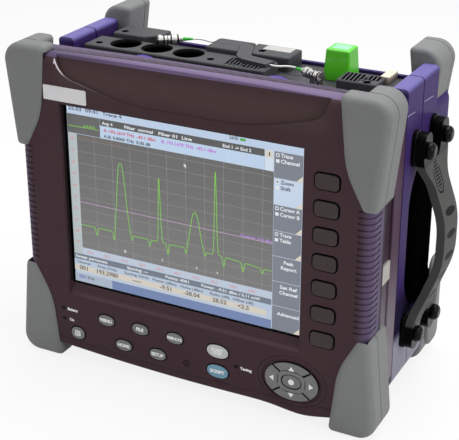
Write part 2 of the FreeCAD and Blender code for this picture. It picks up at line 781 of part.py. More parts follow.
def rounded_sketch(body, name, width, height, radius):
    """A rounded rectangle about the body's origin in the plane across the case, bound to the sheet."""
    sketch = body.newObject("Sketcher::SketchObject", name)
    plane = [f for f in body.Origin.OriginFeatures if f.Role == "XZ_Plane"][0]
    sketch.AttachmentSupport = [(plane, "")]
    sketch.MapMode = "FlatFace"
    half_width, half_height, corner = value(width) / 2, value(height) / 2, value(radius)
    inner_x, inner_y = half_width - corner, half_height - corner
    corners = [(inner_x, -inner_y), (inner_x, inner_y), (-inner_x, inner_y), (-inner_x, -inner_y)]
    normal = Vector(0, 0, 1)
    arcs = []
    for number, (x, y) in enumerate(corners):
        start = (number - 1) * math.pi / 2
        circle = Part.Circle(Vector(x, y, 0), normal, corner)
        arcs.append(Part.ArcOfCircle(circle, start, start + math.pi / 2))
    for number, arc in enumerate(arcs):
        sketch.addGeometry(Part.LineSegment(arcs[number - 1].EndPoint, arc.StartPoint), False)
        sketch.addGeometry(arc, False)
    for number in range(8):
        sketch.addConstraint(Sketcher.Constraint("Tangent", number, 2, (number + 1) % 8, 1))
    for number in (0, 4):
        sketch.addConstraint(Sketcher.Constraint("Horizontal", number))
        sketch.addConstraint(Sketcher.Constraint("Vertical", number + 2))
    for number in (3, 5, 7):
        sketch.addConstraint(Sketcher.Constraint("Equal", 1, number))
    sketch.addConstraint(Sketcher.Constraint("Symmetric", 3, 3, 7, 3, -1, 1))
    sizes = [
        ("cap_width", Sketcher.Constraint("DistanceX", 6, 1, 2, 1, 2 * half_width), width),
        ("cap_height", Sketcher.Constraint("DistanceY", 0, 1, 4, 1, 2 * half_height), height),
        ("cap_corner", Sketcher.Constraint("Radius", 1, corner), radius),
    ]
    for size_name, constraint, expression in sizes:
        index = sketch.addConstraint(constraint)
        sketch.renameConstraint(index, size_name)
        sketch.setExpression(f"Constraints.{size_name}", expression)
    return sketch


def pad(body, name, sketch, length):
    """A pad of a sketch towards the front of the case."""
    solid = body.newObject("PartDesign::Pad", name)
    solid.Profile = sketch
    solid.setExpression("Length", length)
    return solid


def make_key(name, x, z, width, height, radius):
    """A key: a flange behind the bezel that keeps it in, and a cap that stands out through the hole."""
    body = doc.addObject("PartDesign::Body", name)
    grow = "Dims.key_clearance + Dims.flange_width"
    wide, high, corner = f"{width} + 2 * ({grow})", f"{height} + 2 * ({grow})", f"{radius} + {grow}"
    outline = rounded_sketch(body, f"{name}_flange_sketch", wide, high, corner)
    pad(body, f"{name}_flange", outline, "Dims.flange_thickness")
    outline = rounded_sketch(body, f"{name}_cap_sketch", width, height, radius)
    cap = pad(body, f"{name}_cap", outline, f"{FLANGE_BACK} - Dims.bezel_front + Dims.key_proud")
    doc.recompute()
    front = min(range(len(cap.Shape.Faces)), key=lambda i: cap.Shape.Faces[i].CenterOfMass.y)
    edge = body.newObject("PartDesign::Fillet", f"{name}_edge")
    edge.Base = (cap, [f"Face{front + 1}"])
    edge.setExpression("Radius", "Dims.key_edge")
    place(body, name, x, FLANGE_BACK, z)


def make_nav_keys():
    """The four arrow keys: quarters of an elliptical ring round the enter key, with gaps on the diagonals."""
    front = d.bezel_front - d.key_proud
    cap = ellipse_prism(d.nav_x, d.nav_z, d.nav_width, d.nav_height, front, flange_back)
    cap = cap.makeFillet(d.key_edge, edges_in_plane(cap, "Y", front))
    grow = 2 * (d.key_clearance + d.flange_width)
    wide, high = d.nav_width + grow, d.nav_height + grow
    flange = ellipse_prism(d.nav_x, d.nav_z, wide, high, flange_front, flange_back)
    ring = cap.fuse(flange).cut(nav_ring(NAV_INNER))
    shift = d.nav_gap / 2
    for name, across, up in (("nav_right", 1, 0), ("nav_up", 0, 1), ("nav_left", -1, 0), ("nav_down", 0, -1)):
        tip = Vector(d.nav_x + across * shift, 0, d.nav_z + up * shift)
        ahead = Vector(across * d.nav_width, 0, up * d.nav_height)
        aside = Vector(up * d.nav_width, 0, across * d.nav_height)
        wedge = rounded_face([tip, tip + ahead + aside, tip + ahead - aside], 0)
        feature(name, ring.common(wedge.extrude(Vector(0, flange_back + 1, 0))))


def make_display():
    """The window, the display panel behind it, the key board and the three lights."""
    window = box(
        "window_plate",
        (WINDOW_WIDTH, "Dims.window_thickness", WINDOW_HEIGHT),
        ("0", "0", "0"),
    )
    place(
        window,
        "display_window",
        f"Dims.screen_x - ({WINDOW_WIDTH}) / 2",
        WINDOW_FRONT,
        f"Dims.screen_z - ({WINDOW_HEIGHT}) / 2",
    )
    panel = box("panel_block", (OPENING_WIDTH, "Dims.panel_thickness", OPENING_HEIGHT), ("0", "0", "0"))
    place(
        panel,
        "display_panel",
        f"Dims.screen_x - ({OPENING_WIDTH}) / 2",
        f"{WINDOW_FRONT} + Dims.window_thickness",
        f"Dims.screen_z - ({OPENING_HEIGHT}) / 2",
    )
    left = "Dims.light_x - 2 * Dims.boss_radius"
    step_x = "Dims.softkey_x - Dims.softkey_width / 2 - Dims.flange_width - Dims.key_clearance"
    whole = box(
        "board_outline",
        (
            f"Dims.softkey_x + Dims.board_margin - ({left})",
            "Dims.board_thickness",
            "Dims.softkey_top_z + Dims.softkey_height - Dims.board_low",
        ),
        (left, BOARD_FRONT, "Dims.board_low"),
    )
    corner = box(
        "board_corner",
        (f"{step_x} - ({left})", "Dims.board_thickness", "Dims.softkey_top_z"),
        (left, BOARD_FRONT, "Dims.board_step"),
    )
    place(cut("board_plate", whole, corner), "key_board")
    lights = []
    forward = Rotation(Vector(1, 0, 0), 90)
    for number, (x, z) in enumerate(LIGHTS):
        length = f"{BOARD_FRONT} - Dims.bezel_front + Dims.seat_clearance"
        foot = (x, BOARD_FRONT, z)
        lights.append(cylinder(f"light_{number + 1}", "Dims.light_radius", length, foot, forward))
    place(group("light_set", lights), "status_lights")


def make_base():
    """The back half of the base unit: a tray with a ridge, a tongue into the bezel and two catches."""
    tongue_inset = d.wall + d.seat_clearance
    inside_back = d.slice_front - d.wall
    tongue = bowed_block(tongue_inset, d.bezel_back - d.tongue_length, d.base_front + d.wall, d.base_top)
    tray = bowed_block(d.base_inset, d.base_front, d.slice_front, d.base_top)
    ridge = bowed_block(d.ridge_inset, d.base_front + d.ridge_start, d.slice_front, d.base_top)
    ridge = ridge.makeFillet(d.ridge_inset, edges_in_plane(ridge, "Y", d.base_front + d.ridge_start))
    cavity = bowed_block(tongue_inset + d.wall, d.bezel_back - 2 * d.tongue_length, inside_back, d.base_top)
    radius = d.catch_width / 2
    catch_front = d.base_front + d.catch_setback
    catch_back = catch_front + d.catch_length
    catches = []
    for side in (-1, 1):
        x = side * d.catch_x
        round_z = d.catch_top - radius
        catches.append(bar(radius, catch_front, catch_back, x, round_z))
        foot_z = d.base_top - d.base_inset - d.wall
        catches.append(block(x - radius, x + radius, catch_front, catch_back, foot_z, round_z))
    board_back = value(MAIN_BOARD_FRONT) + d.board_thickness
    posts = []
    for side in (-1, 1):
        for end in (-1, 1):
            x = side * (d.main_board_width / 2 - 2 * d.boss_radius)
            z = d.screen_z + end * (d.main_board_height / 2 - 2 * d.boss_radius)
            posts.append(bar(d.boss_radius, board_back, inside_back, x, z))
    feature("base_housing", tongue.fuse([tray, ridge] + catches).cut(cavity).fuse(posts))

    board_size = ("Dims.main_board_width", "Dims.board_thickness", "Dims.main_board_height")
    board = box("main_board_plate", board_size, ("0", "0", "0"))
    board_low = "Dims.screen_z - Dims.main_board_height / 2"
    place(board, "main_board", "-Dims.main_board_width / 2", MAIN_BOARD_FRONT, board_low)
    battery_size = ("Dims.battery_width", "Dims.battery_thickness", "Dims.battery_height")
    battery = box("battery_block", battery_size, ("0", "0", "0"))
    battery_y = f"Dims.slice_front - Dims.wall - Dims.battery_thickness"
    battery_low = "Dims.screen_z - Dims.battery_height / 2"
    place(battery, "battery_pack", "-Dims.battery_width / 2", battery_y, battery_low)
    tab = box("tab_block", ("Dims.tab_proud", "Dims.tab_width", "Dims.tab_height"), ("0", "0", "0"))
    tab_y = f"Dims.base_front + (Dims.ridge_start - Dims.tab_width) / 2"
    place(tab, "side_tab", "Dims.case_width / 2 - Dims.base_inset", tab_y, "Dims.tab_z - Dims.tab_height / 2")


def slice_frame(start, end):
    """An open frame: two walls with round tops and a floor, with the joint edges broken."""
    outline = [
        Vector(-side_face, start, d.slice_base),
        Vector(side_face, start, d.slice_base),
        Vector(side_face, start, d.slice_top),
        Vector(d.bay_half, start, d.slice_top),
        Vector(d.bay_half, start, d.slice_base + d.slice_floor),
        Vector(-d.bay_half, start, d.slice_base + d.slice_floor),
        Vector(-d.bay_half, start, d.slice_top),
        Vector(-side_face, start, d.slice_top),
    ]
    tops = [d.slice_edge] * 2
    radii = [d.case_corner, d.case_corner] + tops + [0, 0] + tops
    solid = rounded_face(outline, radii).extrude(Vector(0, end - start, 0))
    return solid.makeChamfer(d.joint_chamfer, edges_in_plane(solid, "Y", d.slice_joint))


def side_face_rectangle(centre_y, centre_z, width, height, x):
    """The four corners of an upright rectangle along the side of the case."""
    front, back = centre_y - width / 2, centre_y + width / 2
    low, high = centre_z - height / 2, centre_z + height / 2
    return [Vector(x, front, low), Vector(x, back, low), Vector(x, back, high), Vector(x, front, high)]


def well_hollow(grow):
    """The hand well in the right side, grown for its liner or for the liner's room."""
    depth = d.well_depth + grow
    bottom = side_face - depth
    wide, high = d.well_width + 2 * grow, d.well_height + 2 * grow
    outline = side_face_rectangle(d.well_y, d.well_z, wide, high, bottom)
    solid = rounded_face(outline, d.well_corner + grow).extrude(Vector(depth + d.wall, 0, 0))
    return solid.makeFillet(d.well_fillet + grow, edges_in_plane(solid, "X", bottom))


def well_pocket():
    """What the hand well and its liner take out of the case."""
    return well_hollow(d.liner_thickness + d.seat_clearance)


def stud_places():
    """The places along and up of the four handle studs."""
    return [(y, z) for y in (d.stud_front_y, d.stud_rear_y) for z in (d.stud_upper_z, d.stud_lower_z)]


def stud_holes():
    """The blind holes for the studs in the side of the slices."""
    start = side_face - d.stem_seat - d.stem_clearance
    return [side_bar(d.stem_radius + d.stem_clearance, start, side_face + 1, y, z) for y, z in stud_places()]


def screw_places():
    """The places across and up of the rear cover's screws."""
    across = side_face - d.screw_inset
    heights = (d.slice_base + d.screw_inset, d.lip_top - d.screw_inset)
    return [(side * across, z) for side in (-1, 1) for z in heights]


def cover_block(grow, start, end):
    """The rear cover's outline, grown on every side, pulled along the depth of the case."""
    wide, high = 2 * (side_face + grow), cover_high - d.slice_base + 2 * grow
    outline = upright(0, (d.slice_base + cover_high) / 2, wide, high, start)
    return rounded_face(outline, d.case_corner + grow).extrude(Vector(0, end - start, 0))


def make_slices():
    """The two module slices, the hollow rear cover with its vents, its screws and the hand well's liner."""
    bay_floor = d.slice_base + d.slice_floor
    front = slice_frame(d.slice_front, d.slice_joint)
    wall_back = d.slice_front + d.end_wall
    end_wall = block(-d.bay_half, d.bay_half, d.slice_front, wall_back, bay_floor, d.deck_top)
    feature("front_slice", front.fuse(end_wall).cut([well_pocket()] + stud_holes()))

    rear = slice_frame(d.slice_joint, d.slice_back)
    rear_wall = block(-d.bay_half, d.bay_half, d.slice_back - d.end_wall, d.slice_back, bay_floor, d.lip_top)
    pilot = d.screw_radius + d.stem_clearance
    pilots = [bar(pilot, d.slice_back - d.end_wall - 1, d.slice_back + 1, x, z) for x, z in screw_places()]
    feature("rear_slice", rear.fuse(rear_wall).cut([well_pocket()] + stud_holes() + pilots))

    cover = cover_block(0, d.slice_back, d.cover_back)
    cover = cover.makeFillet(d.cover_round, edges_in_plane(cover, "Y", d.cover_back))
    inside_back = d.cover_back - d.wall
    hollow = block(-d.bay_half, d.bay_half, d.slice_back, inside_back, bay_floor, cover_high - d.wall)
    centre_z = (d.slice_base + cover_high) / 2
    bosses = [bar(d.cover_boss, d.slice_back, inside_back, x, z) for x, z in screw_places()]
    openings = [well_pocket()]
    for number in range(int(d.vent_count)):
        x = (number - (d.vent_count - 1) / 2) * d.vent_pitch
        slot = upright(x, centre_z, d.vent_slot, d.vent_length, inside_back - 1)
        openings.append(rounded_face(slot, d.oval_share * d.vent_slot).extrude(Vector(0, d.wall + 2, 0)))
    openings += [bar(pilot, d.slice_back - 1, d.cover_back + 1, x, z) for x, z in screw_places()]
    feature("rear_cover", cover.cut(hollow).fuse(bosses).cut(openings))

    screws = []
    for x, z in screw_places():
        shank = bar(d.screw_radius, d.cover_back - d.screw_length, d.cover_back, x, z)
        head = bar(d.screw_head_radius, d.cover_back, d.cover_back + d.screw_head_height, x, z)
        screws.append(shank.fuse(head).removeSplitter())
    feature("cover_screws", Part.makeCompound(screws))

    right_half = block(0, side_face, d.slice_front, d.slice_back, 0, d.slice_top).fuse(cover)
    feature("hand_well", well_hollow(d.liner_thickness).cut(well_hollow(0)).common(right_half))


def make_modules():
    """The two module boxes that fill the slices; the front one carries on the three round sockets."""
    low_x = "Dims.module_clearance - Dims.bay_half"
    front_y = f"Dims.slice_front + Dims.end_wall + Dims.module_clearance"
    front_depth = f"Dims.slice_joint - Dims.module_clearance - ({front_y})"
    height = f"Dims.module_top - ({BAY_FLOOR})"
    body = box("front_module_block", (BAY_WIDTH, front_depth, height), (low_x, front_y, BAY_FLOOR))
    pits = []
    for number in range(int(d.socket_count)):
        pits.append(
            cylinder(
                f"socket_pit_{number + 1}",
                "Dims.socket_radius",
                "Dims.socket_depth",
                (f"Dims.socket_x + {number} * Dims.socket_pitch", "Dims.socket_y", SOCKET_FLOOR),
                Rotation(),
            )
        )
    place(cut("front_module_solid", body, group("socket_pits", pits)), "front_module")
    rear_y = f"Dims.slice_joint + Dims.module_clearance"
    rear_depth = f"Dims.slice_back - Dims.end_wall - Dims.module_clearance - ({rear_y})"
    rear = box("rear_module_block", (BAY_WIDTH, rear_depth, height), ("0", "0", "0"))
    place(rear, "rear_module", low_x, rear_y, BAY_FLOOR)


def deck_block(left, right, front, back, top):
    """A cover on the module deck with round corners and a broken top edge."""
    outline = level(left, right, front, back, d.module_top)
    solid = rounded_face(outline, d.deck_corner).extrude(Vector(0, 0, top - d.module_top))
    return solid.makeChamfer(d.deck_edge, edges_in_plane(solid, "Z", top))


def louvres(count, first_x, centre_y, top):
    """Leaning slots in the top of a cover."""
    half_width, half_length = d.louvre_width / 2, d.louvre_length / 2
    slots = []
    for number in range(count):
        slot = block(-half_width, half_width, -half_length, half_length, top - d.louvre_depth, top + 1)
        slot.rotate(Vector(0, 0, 0), Vector(0, 0, 1), -d.louvre_angle)
        slot.translate(Vector(first_x + number * d.louvre_pitch, centre_y, 0))
        slots.append(slot)
    return slots


def guide_path(z):
    """The middle line of the fibre guide: in from the left, slanting forward, then out to the right."""
    return [
        Vector(d.centre_left, d.guide_back_y, z),
        Vector(d.guide_turn_x, d.guide_back_y, z),
        Vector(d.guide_neck_x, d.guide_neck_y, z),
        Vector(d.guide_end_x, d.guide_end_y, z),
    ]


def guide_band(width, height):
    """A band of a width along the fibre guide's middle line, raised from the guide's underside."""
    up = Vector(0, 0, 1)
    return band_face(guide_path(guide_low), d.guide_bend, width, up).extrude(up * height)


def make_deck():
    """What stands on the modules: plates, covers, the fibre guide and the vent block."""
    plate = deck_block(d.plate_left, d.plate_right, d.plate_front, d.plate_back, d.plate_top)
    sockets = []
    for number in range(int(d.socket_count)):
        foot = Vector(d.socket_x + number * d.socket_pitch, d.socket_y, d.module_top - 1)
        sockets.append(Part.makeCylinder(d.socket_radius, d.socket_depth, foot))
    slot_y = d.plate_front + d.louvre_length / 2 + d.deck_corner
    slots = louvres(int(d.louvre_count), d.louvre_x, slot_y, d.plate_top)
    feature("socket_plate", plate.cut(sockets + slots))

    front, back = d.rear_plate_front, d.slice_back - d.end_wall - d.seat_clearance
    outline = [
        Vector(d.corner_left, front, d.module_top),
        Vector(d.corner_right - d.corner_chamfer, front, d.module_top),
        Vector(d.corner_right, front + d.corner_chamfer, d.module_top),
        Vector(d.corner_right, back, d.module_top),
        Vector(d.corner_left, back, d.module_top),
    ]
    corner = rounded_face(outline, d.deck_corner).extrude(Vector(0, 0, d.cover_top - d.module_top))
    feature("corner_cover", corner.makeChamfer(d.deck_edge, edges_in_plane(corner, "Z", d.cover_top)))

    guide_room = guide_band(d.guide_width + 2 * d.guide_clearance, 2 * d.guide_thickness)
    shelf = block(d.centre_left, d.centre_right, front, back, d.module_top, guide_low)
    cover = deck_block(d.centre_left, d.centre_right, front, back, d.cover_top)
    feature("centre_cover", cover.cut(guide_room).fuse(shelf).removeSplitter())
    label = deck_block(d.block_left, d.block_right, front, back, d.cover_top)
    feature("label_block", label.cut(guide_room))
    channel = guide_band(d.channel_width, d.channel_depth)
    feature("fibre_guide", guide_band(d.guide_width, d.guide_thickness).cut(channel))

    vent = deck_block(d.vent_block_left, d.vent_block_right, d.plate_front, d.vent_block_back, d.cover_top)
    vent_x = d.vent_block_left + 2 * d.louvre_pitch
    vent_y = (d.plate_front + d.vent_block_back) / 2
    feature("vent_block", vent.cut(louvres(int(d.louvre_count) - 2, vent_x, vent_y, d.cover_top)))


def along(start, turn, distance):
    """The point at a distance from a start, in the level direction given by a turn away from +x."""
    angle = math.radians(turn)
    return start + Vector(distance * math.cos(angle), distance * math.sin(angle), 0)


def connector(start, turn):
    """A metal fibre connector on a foot: a nut, a body, a sleeve and a ferrule, turned on one axis."""
    steps = [
        (d.nut_length, d.connector_radius),
        (d.body_length, d.body_radius),
        (d.sleeve_length, d.connector_radius),
        (d.ferrule_length, d.ferrule_radius),
    ]
    half_foot = d.foot_width / 2
    pieces = [block(0, d.nut_length + d.body_length, -half_foot, half_foot, d.module_top - start.z, 0)]
    distance = 0
    for length, radius in steps:
        pieces.append(Part.makeCylinder(radius, length, Vector(distance, 0, 0), Vector(1, 0, 0)))
        distance += length
    for piece in pieces:
        piece.rotate(Vector(0, 0, 0), Vector(0, 0, 1), turn)
        piece.translate(start)
    return pieces[0].fuse(pieces[1:]).removeSplitter()


def make_fibre():
    """The two connectors, their boots, and the fibre that runs from one to the other through the guide."""
    left = Vector(d.left_connector_x, d.left_connector_y, d.connector_z)
    right = Vector(d.right_connector_x, d.right_connector_y, d.connector_z)
    length = d.nut_length + d.body_length + d.sleeve_length + d.ferrule_length
    ends = []
    boots = []
    for name, start, turn in (
        ("connector_left", left, d.left_connector_angle),
        ("connector_right", right, d.right_connector_angle),
    ):
        feature(name, connector(start, turn))
        thick_end = along(start, turn, length)
        thin_end = along(start, turn, length + d.boot_length)
        axis = (thin_end - thick_end).normalize()
        boots.append(Part.makeCone(d.boot_radius, d.fibre_radius, d.boot_length, thick_end, axis))
        ends.append((thin_end, along(thin_end, turn, d.fibre_lead_in)))
    feature("fibre_boots", Part.makeCompound(boots))

    route = guide_path(guide_low + d.channel_depth / 2)
    entry = route[0] - Vector(d.fibre_lead_in, 0, 0)
    leave = route[-1] + (route[-1] - route[-2]).normalize() * d.fibre_lead_in
    points = [*ends[0], entry, route[1], route[2], leave, *reversed(ends[1])]
    bend = d.fibre_bend
    radii = [0, bend, bend, d.guide_bend, d.guide_bend, bend, bend, 0]
    path = Part.Wire(rounded_edges(points, radii, closed=False))
    start_line = (points[1] - points[0]).normalize()
    ring = Part.Wire([Part.Circle(points[0], start_line, d.fibre_radius).toShape()])
    feature("fibre_lead", path.makePipeShell([ring], True, True))


def make_cap():
    """The tapered cap and the square post that it slides over."""
    low = d.module_top + d.seat_clearance
    half_width, half_length = d.cap_width / 2, d.cap_length / 2
    sections = []
    for rise, taper in ((0, 0), (d.cap_height, d.cap_taper)):
        corners = level(
            d.cap_x - half_width + taper,
            d.cap_x + half_width - taper,
            d.cap_y - half_length + taper,
            d.cap_y + half_length - taper,
            low + rise,
        )
        sections.append(Part.Wire(rounded_edges(corners, [d.cap_round] * 4)))
    shell = Part.makeLoft(sections, True, True)
    shell = shell.makeFillet(d.cap_edge, edges_in_plane(shell, "Z", low + d.cap_height))
    room_x = value(POST_WIDTH) / 2 + d.cap_clearance
    room_y = value(POST_LENGTH) / 2 + d.cap_clearance
    room_top = low + d.cap_height - d.cap_wall
    room = block(d.cap_x - room_x, d.cap_x + room_x, d.cap_y - room_y, d.cap_y + room_y, low - 1, room_top)
    feature("green_cap", shell.cut(room))
    post = box("cap_post_block", (POST_WIDTH, POST_LENGTH, POST_HEIGHT), ("0", "0", "0"))
    post_x = f"Dims.cap_x - ({POST_WIDTH}) / 2"
    place(post, "cap_post", post_x, f"Dims.cap_y - ({POST_LENGTH}) / 2", "Dims.module_top")


def bumper_face(side, at_top, outer, width, height, y):
    """The outline of a corner bumper: round at the corner, drawn in on both sides to a tip along the case."""

    def point(inward, along_side):
        z = d.bumper_top - along_side if at_top else along_side
        return Vector(side * (outer - inward), y, z)

    outline = [
        point(0, 0),
        point(width, 0),
        point(width - d.bumper_draw, d.bumper_knee_share * height),
        point(d.bumper_tip, height),
        point(d.bumper_taper, height),
    ]
    edge = d.bumper_edge
    return rounded_face(outline, [d.bumper_corner, edge, d.bumper_sweep, edge, edge])


def front_bumper(side, at_top):
    """A wide nose round the corner, a seam, and a narrower tail that runs back along the side."""
    outer = d.case_width / 2 + d.bumper_side
    nose = bumper_face(side, at_top, outer, d.bumper_width, d.bumper_height, 0)
    nose = nose.extrude(Vector(0, d.seam_offset, 0))
    nose = nose.makeFillet(d.bumper_round, edges_in_plane(nose, "Y", 0))
    tail_front = d.seam_offset + d.seam_width
    tail_face = bumper_face(side, at_top, outer, d.bumper_tail, d.bumper_height, tail_front)
    tail = tail_face.extrude(Vector(0, d.front_bumper_depth - tail_front, 0))
    tail = tail.makeFillet(d.bumper_edge, edges_in_plane(tail, "Y", d.front_bumper_depth))
    neck = tail_face.makeOffset2D(-d.seam_depth).extrude(Vector(0, -2 * d.seam_width, 0))
    return nose.fuse([neck, tail])


def rear_bumper(side, at_top):
    """A block round the rear corner with a seam near its back."""
    outer = side_face + d.rear_bumper_side
    start = d.slice_back + d.seat_clearance
    depth = d.case_depth - start
    face = bumper_face(side, at_top, outer, d.rear_bumper_width, d.rear_bumper_height, start)
    solid = face.extrude(Vector(0, depth, 0))
    ends = edges_in_plane(solid, "Y", start) + edges_in_plane(solid, "Y", d.case_depth)
    solid = solid.makeFillet(d.bumper_edge, ends)
    across = Vector(0, d.seam_width, 0)
    seam = face.extrude(across).cut(face.makeOffset2D(-d.seam_depth).extrude(across))
    seam.translate(Vector(0, depth - d.rear_seam_offset, 0))
    return solid.cut(seam)


def make_bumpers():
    """Four bumpers on the base unit and four on the rear cover, each seated on the case behind it."""
    room = d.seat_clearance
    bezel_room = bowed_block(-room, d.bezel_front - room, d.bezel_back + room, d.case_top)
    base_room = bezel_room.fuse(bowed_block(d.base_inset - room, d.bezel_back, d.slice_front, d.base_top))
    rear_room = cover_block(room, d.slice_joint, d.cover_back + room)
    for side_name, side in (("left", -1), ("right", 1)):
        for end_name, at_top in (("top", True), ("bottom", False)):
            feature(f"front_bumper_{end_name}_{side_name}", front_bumper(side, at_top).cut(base_room))
            feature(f"rear_bumper_{end_name}_{side_name}", rear_bumper(side, at_top).cut(rear_room))


def make_handle():
    """The lugs on the side, the forked rubber strap on them and the mushroom studs that hold it."""
    lugs = []
    seat_x = side_face + d.lug_thickness + d.strap_gap + d.strap_thickness / 2
    for y, z in stud_places():
        outline = side_face_rectangle(y, z, d.lug_width, d.lug_height, side_face)
        lug = rounded_face(outline, d.oval_share * d.lug_width).extrude(Vector(d.lug_thickness, 0, 0))
        lug = lug.makeFillet(d.lug_edge, edges_in_plane(lug, "X", side_face + d.lug_thickness))
        lugs.append(lug.cut(side_bar(d.stem_radius + d.stem_clearance, side_face - 1, seat_x, y, z)))
    feature("handle_lugs", Part.makeCompound(lugs))

    grip_x = side_face + d.strap_standoff + d.strap_thickness / 2
    high, low = d.stud_upper_z + d.strap_end, d.stud_lower_z - d.strap_end
    front = d.stud_front_y - d.strap_flare
    middle_line = [
        Vector(seat_x, front, high),
        Vector(seat_x, front, d.stud_upper_z - d.strap_end),
        Vector(grip_x, front, d.stud_upper_z - d.strap_end - d.strap_rise),
        Vector(grip_x, front, d.stud_lower_z + d.strap_end + d.strap_rise),
        Vector(seat_x, front, d.stud_lower_z + d.strap_end),
        Vector(seat_x, front, low),
    ]
    across = Vector(0, 1, 0)
    width = d.stud_rear_y - d.stud_front_y + 2 * d.strap_flare
    profile = band_face(middle_line, d.strap_bend, d.strap_thickness, across).extrude(across * width)
    centre_y = (d.stud_front_y + d.stud_rear_y) / 2
    end_half, grip_half = width / 2, d.strap_grip / 2
    fork_half = end_half - d.strap_arm
    quarter = [
        (fork_half, d.strap_notch),
        (fork_half, 0),
        (end_half, 0),
        (end_half, d.strap_notch),
        (grip_half, d.strap_notch + d.strap_arm),
    ]
    arm_round = d.oval_share * d.strap_arm
    quarter_radii = [2 * d.oval_share * fork_half, arm_round, arm_round, d.strap_arm, d.strap_arm]
    plan = [Vector(side_face, centre_y + out, high - down) for out, down in quarter]
    plan += [Vector(side_face, centre_y + out, low + up) for out, up in reversed(quarter)]
    plan += [Vector(side_face, centre_y - out, low + up) for out, up in quarter]
    plan += [Vector(side_face, centre_y - out, high - down) for out, down in reversed(quarter)]
    radii = quarter_radii + quarter_radii[::-1] + quarter_radii + quarter_radii[::-1]
    plan_solid = rounded_face(plan, radii).extrude(Vector(grip_x, 0, 0))
    holes = [side_bar(d.stem_radius + d.stem_clearance, side_face, grip_x, y, z) for y, z in stud_places()]
    feature("handle_strap", profile.common(plan_solid).cut(holes))

    head_x = d.lug_thickness + d.strap_thickness + 2 * d.strap_gap
    outline = [
        Vector(-d.stem_seat, 0, 0),
        Vector(-d.stem_seat, d.stem_radius, 0),
        Vector(head_x, d.stem_radius, 0),
        Vector(head_x, d.head_radius, 0),
        Vector(head_x + d.head_height, d.head_radius, 0),
        Vector(head_x + d.head_height, 0, 0),
    ]
    profile = rounded_face(outline, [0, 0, 0, d.head_seat_round, d.head_crown_round, 0])
    stud = profile.revolve(Vector(0, 0, 0), Vector(1, 0, 0), 360)
    studs = []
    for y, z in stud_places():
        copy = stud.copy()
        copy.translate(Vector(side_face, y, z))
        studs.append(copy)
    feature("handle_studs", Part.makeCompound(studs))


make_bezel()
for key in KEYS:
    make_key(*key)
make_nav_keys()
make_display()
make_base()
make_slices()
make_modules()
make_deck()
make_fibre()
make_cap()
make_bumpers()
make_handle()
doc.recompute()

for item in doc.Objects:
    failed = {"Invalid", "Error"} & set(item.State)
    if failed:
        raise RuntimeError(f"{item.Label} failed: {item.State}")
for item in subparts:
    if item.Shape.isNull() or not item.Shape.isValid():
        raise RuntimeError(f"{item.Label} has no valid shape")
    if not item.Shape.Solids:
        raise RuntimeError(f"{item.Label} has no solid")

os.makedirs("parts", exist_ok=True)
for item in subparts:
    item.Shape.exportStep(os.path.join("parts", f"{item.Label}.step"))
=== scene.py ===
"""Looks of a portable optical spectrum analyzer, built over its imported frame."""

import json

import bmesh
import bpy
import numpy as np
from bpy.props import FloatProperty, FloatVectorProperty, PointerProperty
from mathutils import Matrix, Vector


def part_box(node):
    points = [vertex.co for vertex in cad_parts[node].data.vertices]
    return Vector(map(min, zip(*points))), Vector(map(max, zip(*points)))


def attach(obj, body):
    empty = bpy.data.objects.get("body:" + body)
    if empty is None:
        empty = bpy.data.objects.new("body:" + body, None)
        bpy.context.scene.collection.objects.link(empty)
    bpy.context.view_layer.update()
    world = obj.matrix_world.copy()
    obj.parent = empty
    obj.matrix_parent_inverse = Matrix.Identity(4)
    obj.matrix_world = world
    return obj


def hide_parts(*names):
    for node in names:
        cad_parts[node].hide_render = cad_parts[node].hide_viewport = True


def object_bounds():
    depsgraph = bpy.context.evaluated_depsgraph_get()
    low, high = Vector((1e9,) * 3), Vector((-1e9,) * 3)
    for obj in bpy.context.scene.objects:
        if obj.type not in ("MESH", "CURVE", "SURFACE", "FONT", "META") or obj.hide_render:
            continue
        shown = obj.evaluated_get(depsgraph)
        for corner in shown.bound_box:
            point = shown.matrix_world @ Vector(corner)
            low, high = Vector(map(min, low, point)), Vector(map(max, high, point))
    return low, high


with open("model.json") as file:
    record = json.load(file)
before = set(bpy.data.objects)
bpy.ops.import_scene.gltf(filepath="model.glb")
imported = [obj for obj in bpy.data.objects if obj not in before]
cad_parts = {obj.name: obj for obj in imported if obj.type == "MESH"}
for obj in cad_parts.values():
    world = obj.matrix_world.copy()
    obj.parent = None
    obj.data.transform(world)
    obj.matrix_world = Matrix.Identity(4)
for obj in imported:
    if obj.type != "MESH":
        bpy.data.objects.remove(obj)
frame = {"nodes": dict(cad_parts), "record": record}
CAD_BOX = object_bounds()

bl_info = {
    "name": "Optical spectrum analyzer",
    "version": (1, 0, 0),
    "blender": (4, 5, 0),
    "location": "View3D > Sidebar > Analyzer",
    "description": "Dresses the packed solids of a portable optical spectrum analyzer",
    "category": "Object",
}

MM = 0.001
# the case frame: millimetres across from the case's middle, behind the bumpers' fronts and above the floor
BEZEL_LOW, BEZEL_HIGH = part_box("front_bezel")
CASE_MIDDLE = (BEZEL_LOW.x + BEZEL_HIGH.x) / 2
CASE_FRONT = CAD_BOX[0].y
# a capital letter's share of the font size, and how far flat printing lies before its surface
CAP_SHARE = 0.69
FLAT_LIFT = 0.06
# pit size and depth of fine moulded surfaces, in metres
FINE_GRAIN = (0.0005, 0.00003)
RUBBER_GRAIN = (0.0006, 0.00006)
# the bezel's paint, in the case frame: its top band, its scoop and the cord's slant along the band
BAND_FOOT, BAND_LEAN = 275.6, 0.008
SCOOP_FOOT, SCOOP_HALF, SCOOP_LEAN = 246, 119.4, 0.158
CORD_FRONT, CORD_SLANT = 19.0, 0.03
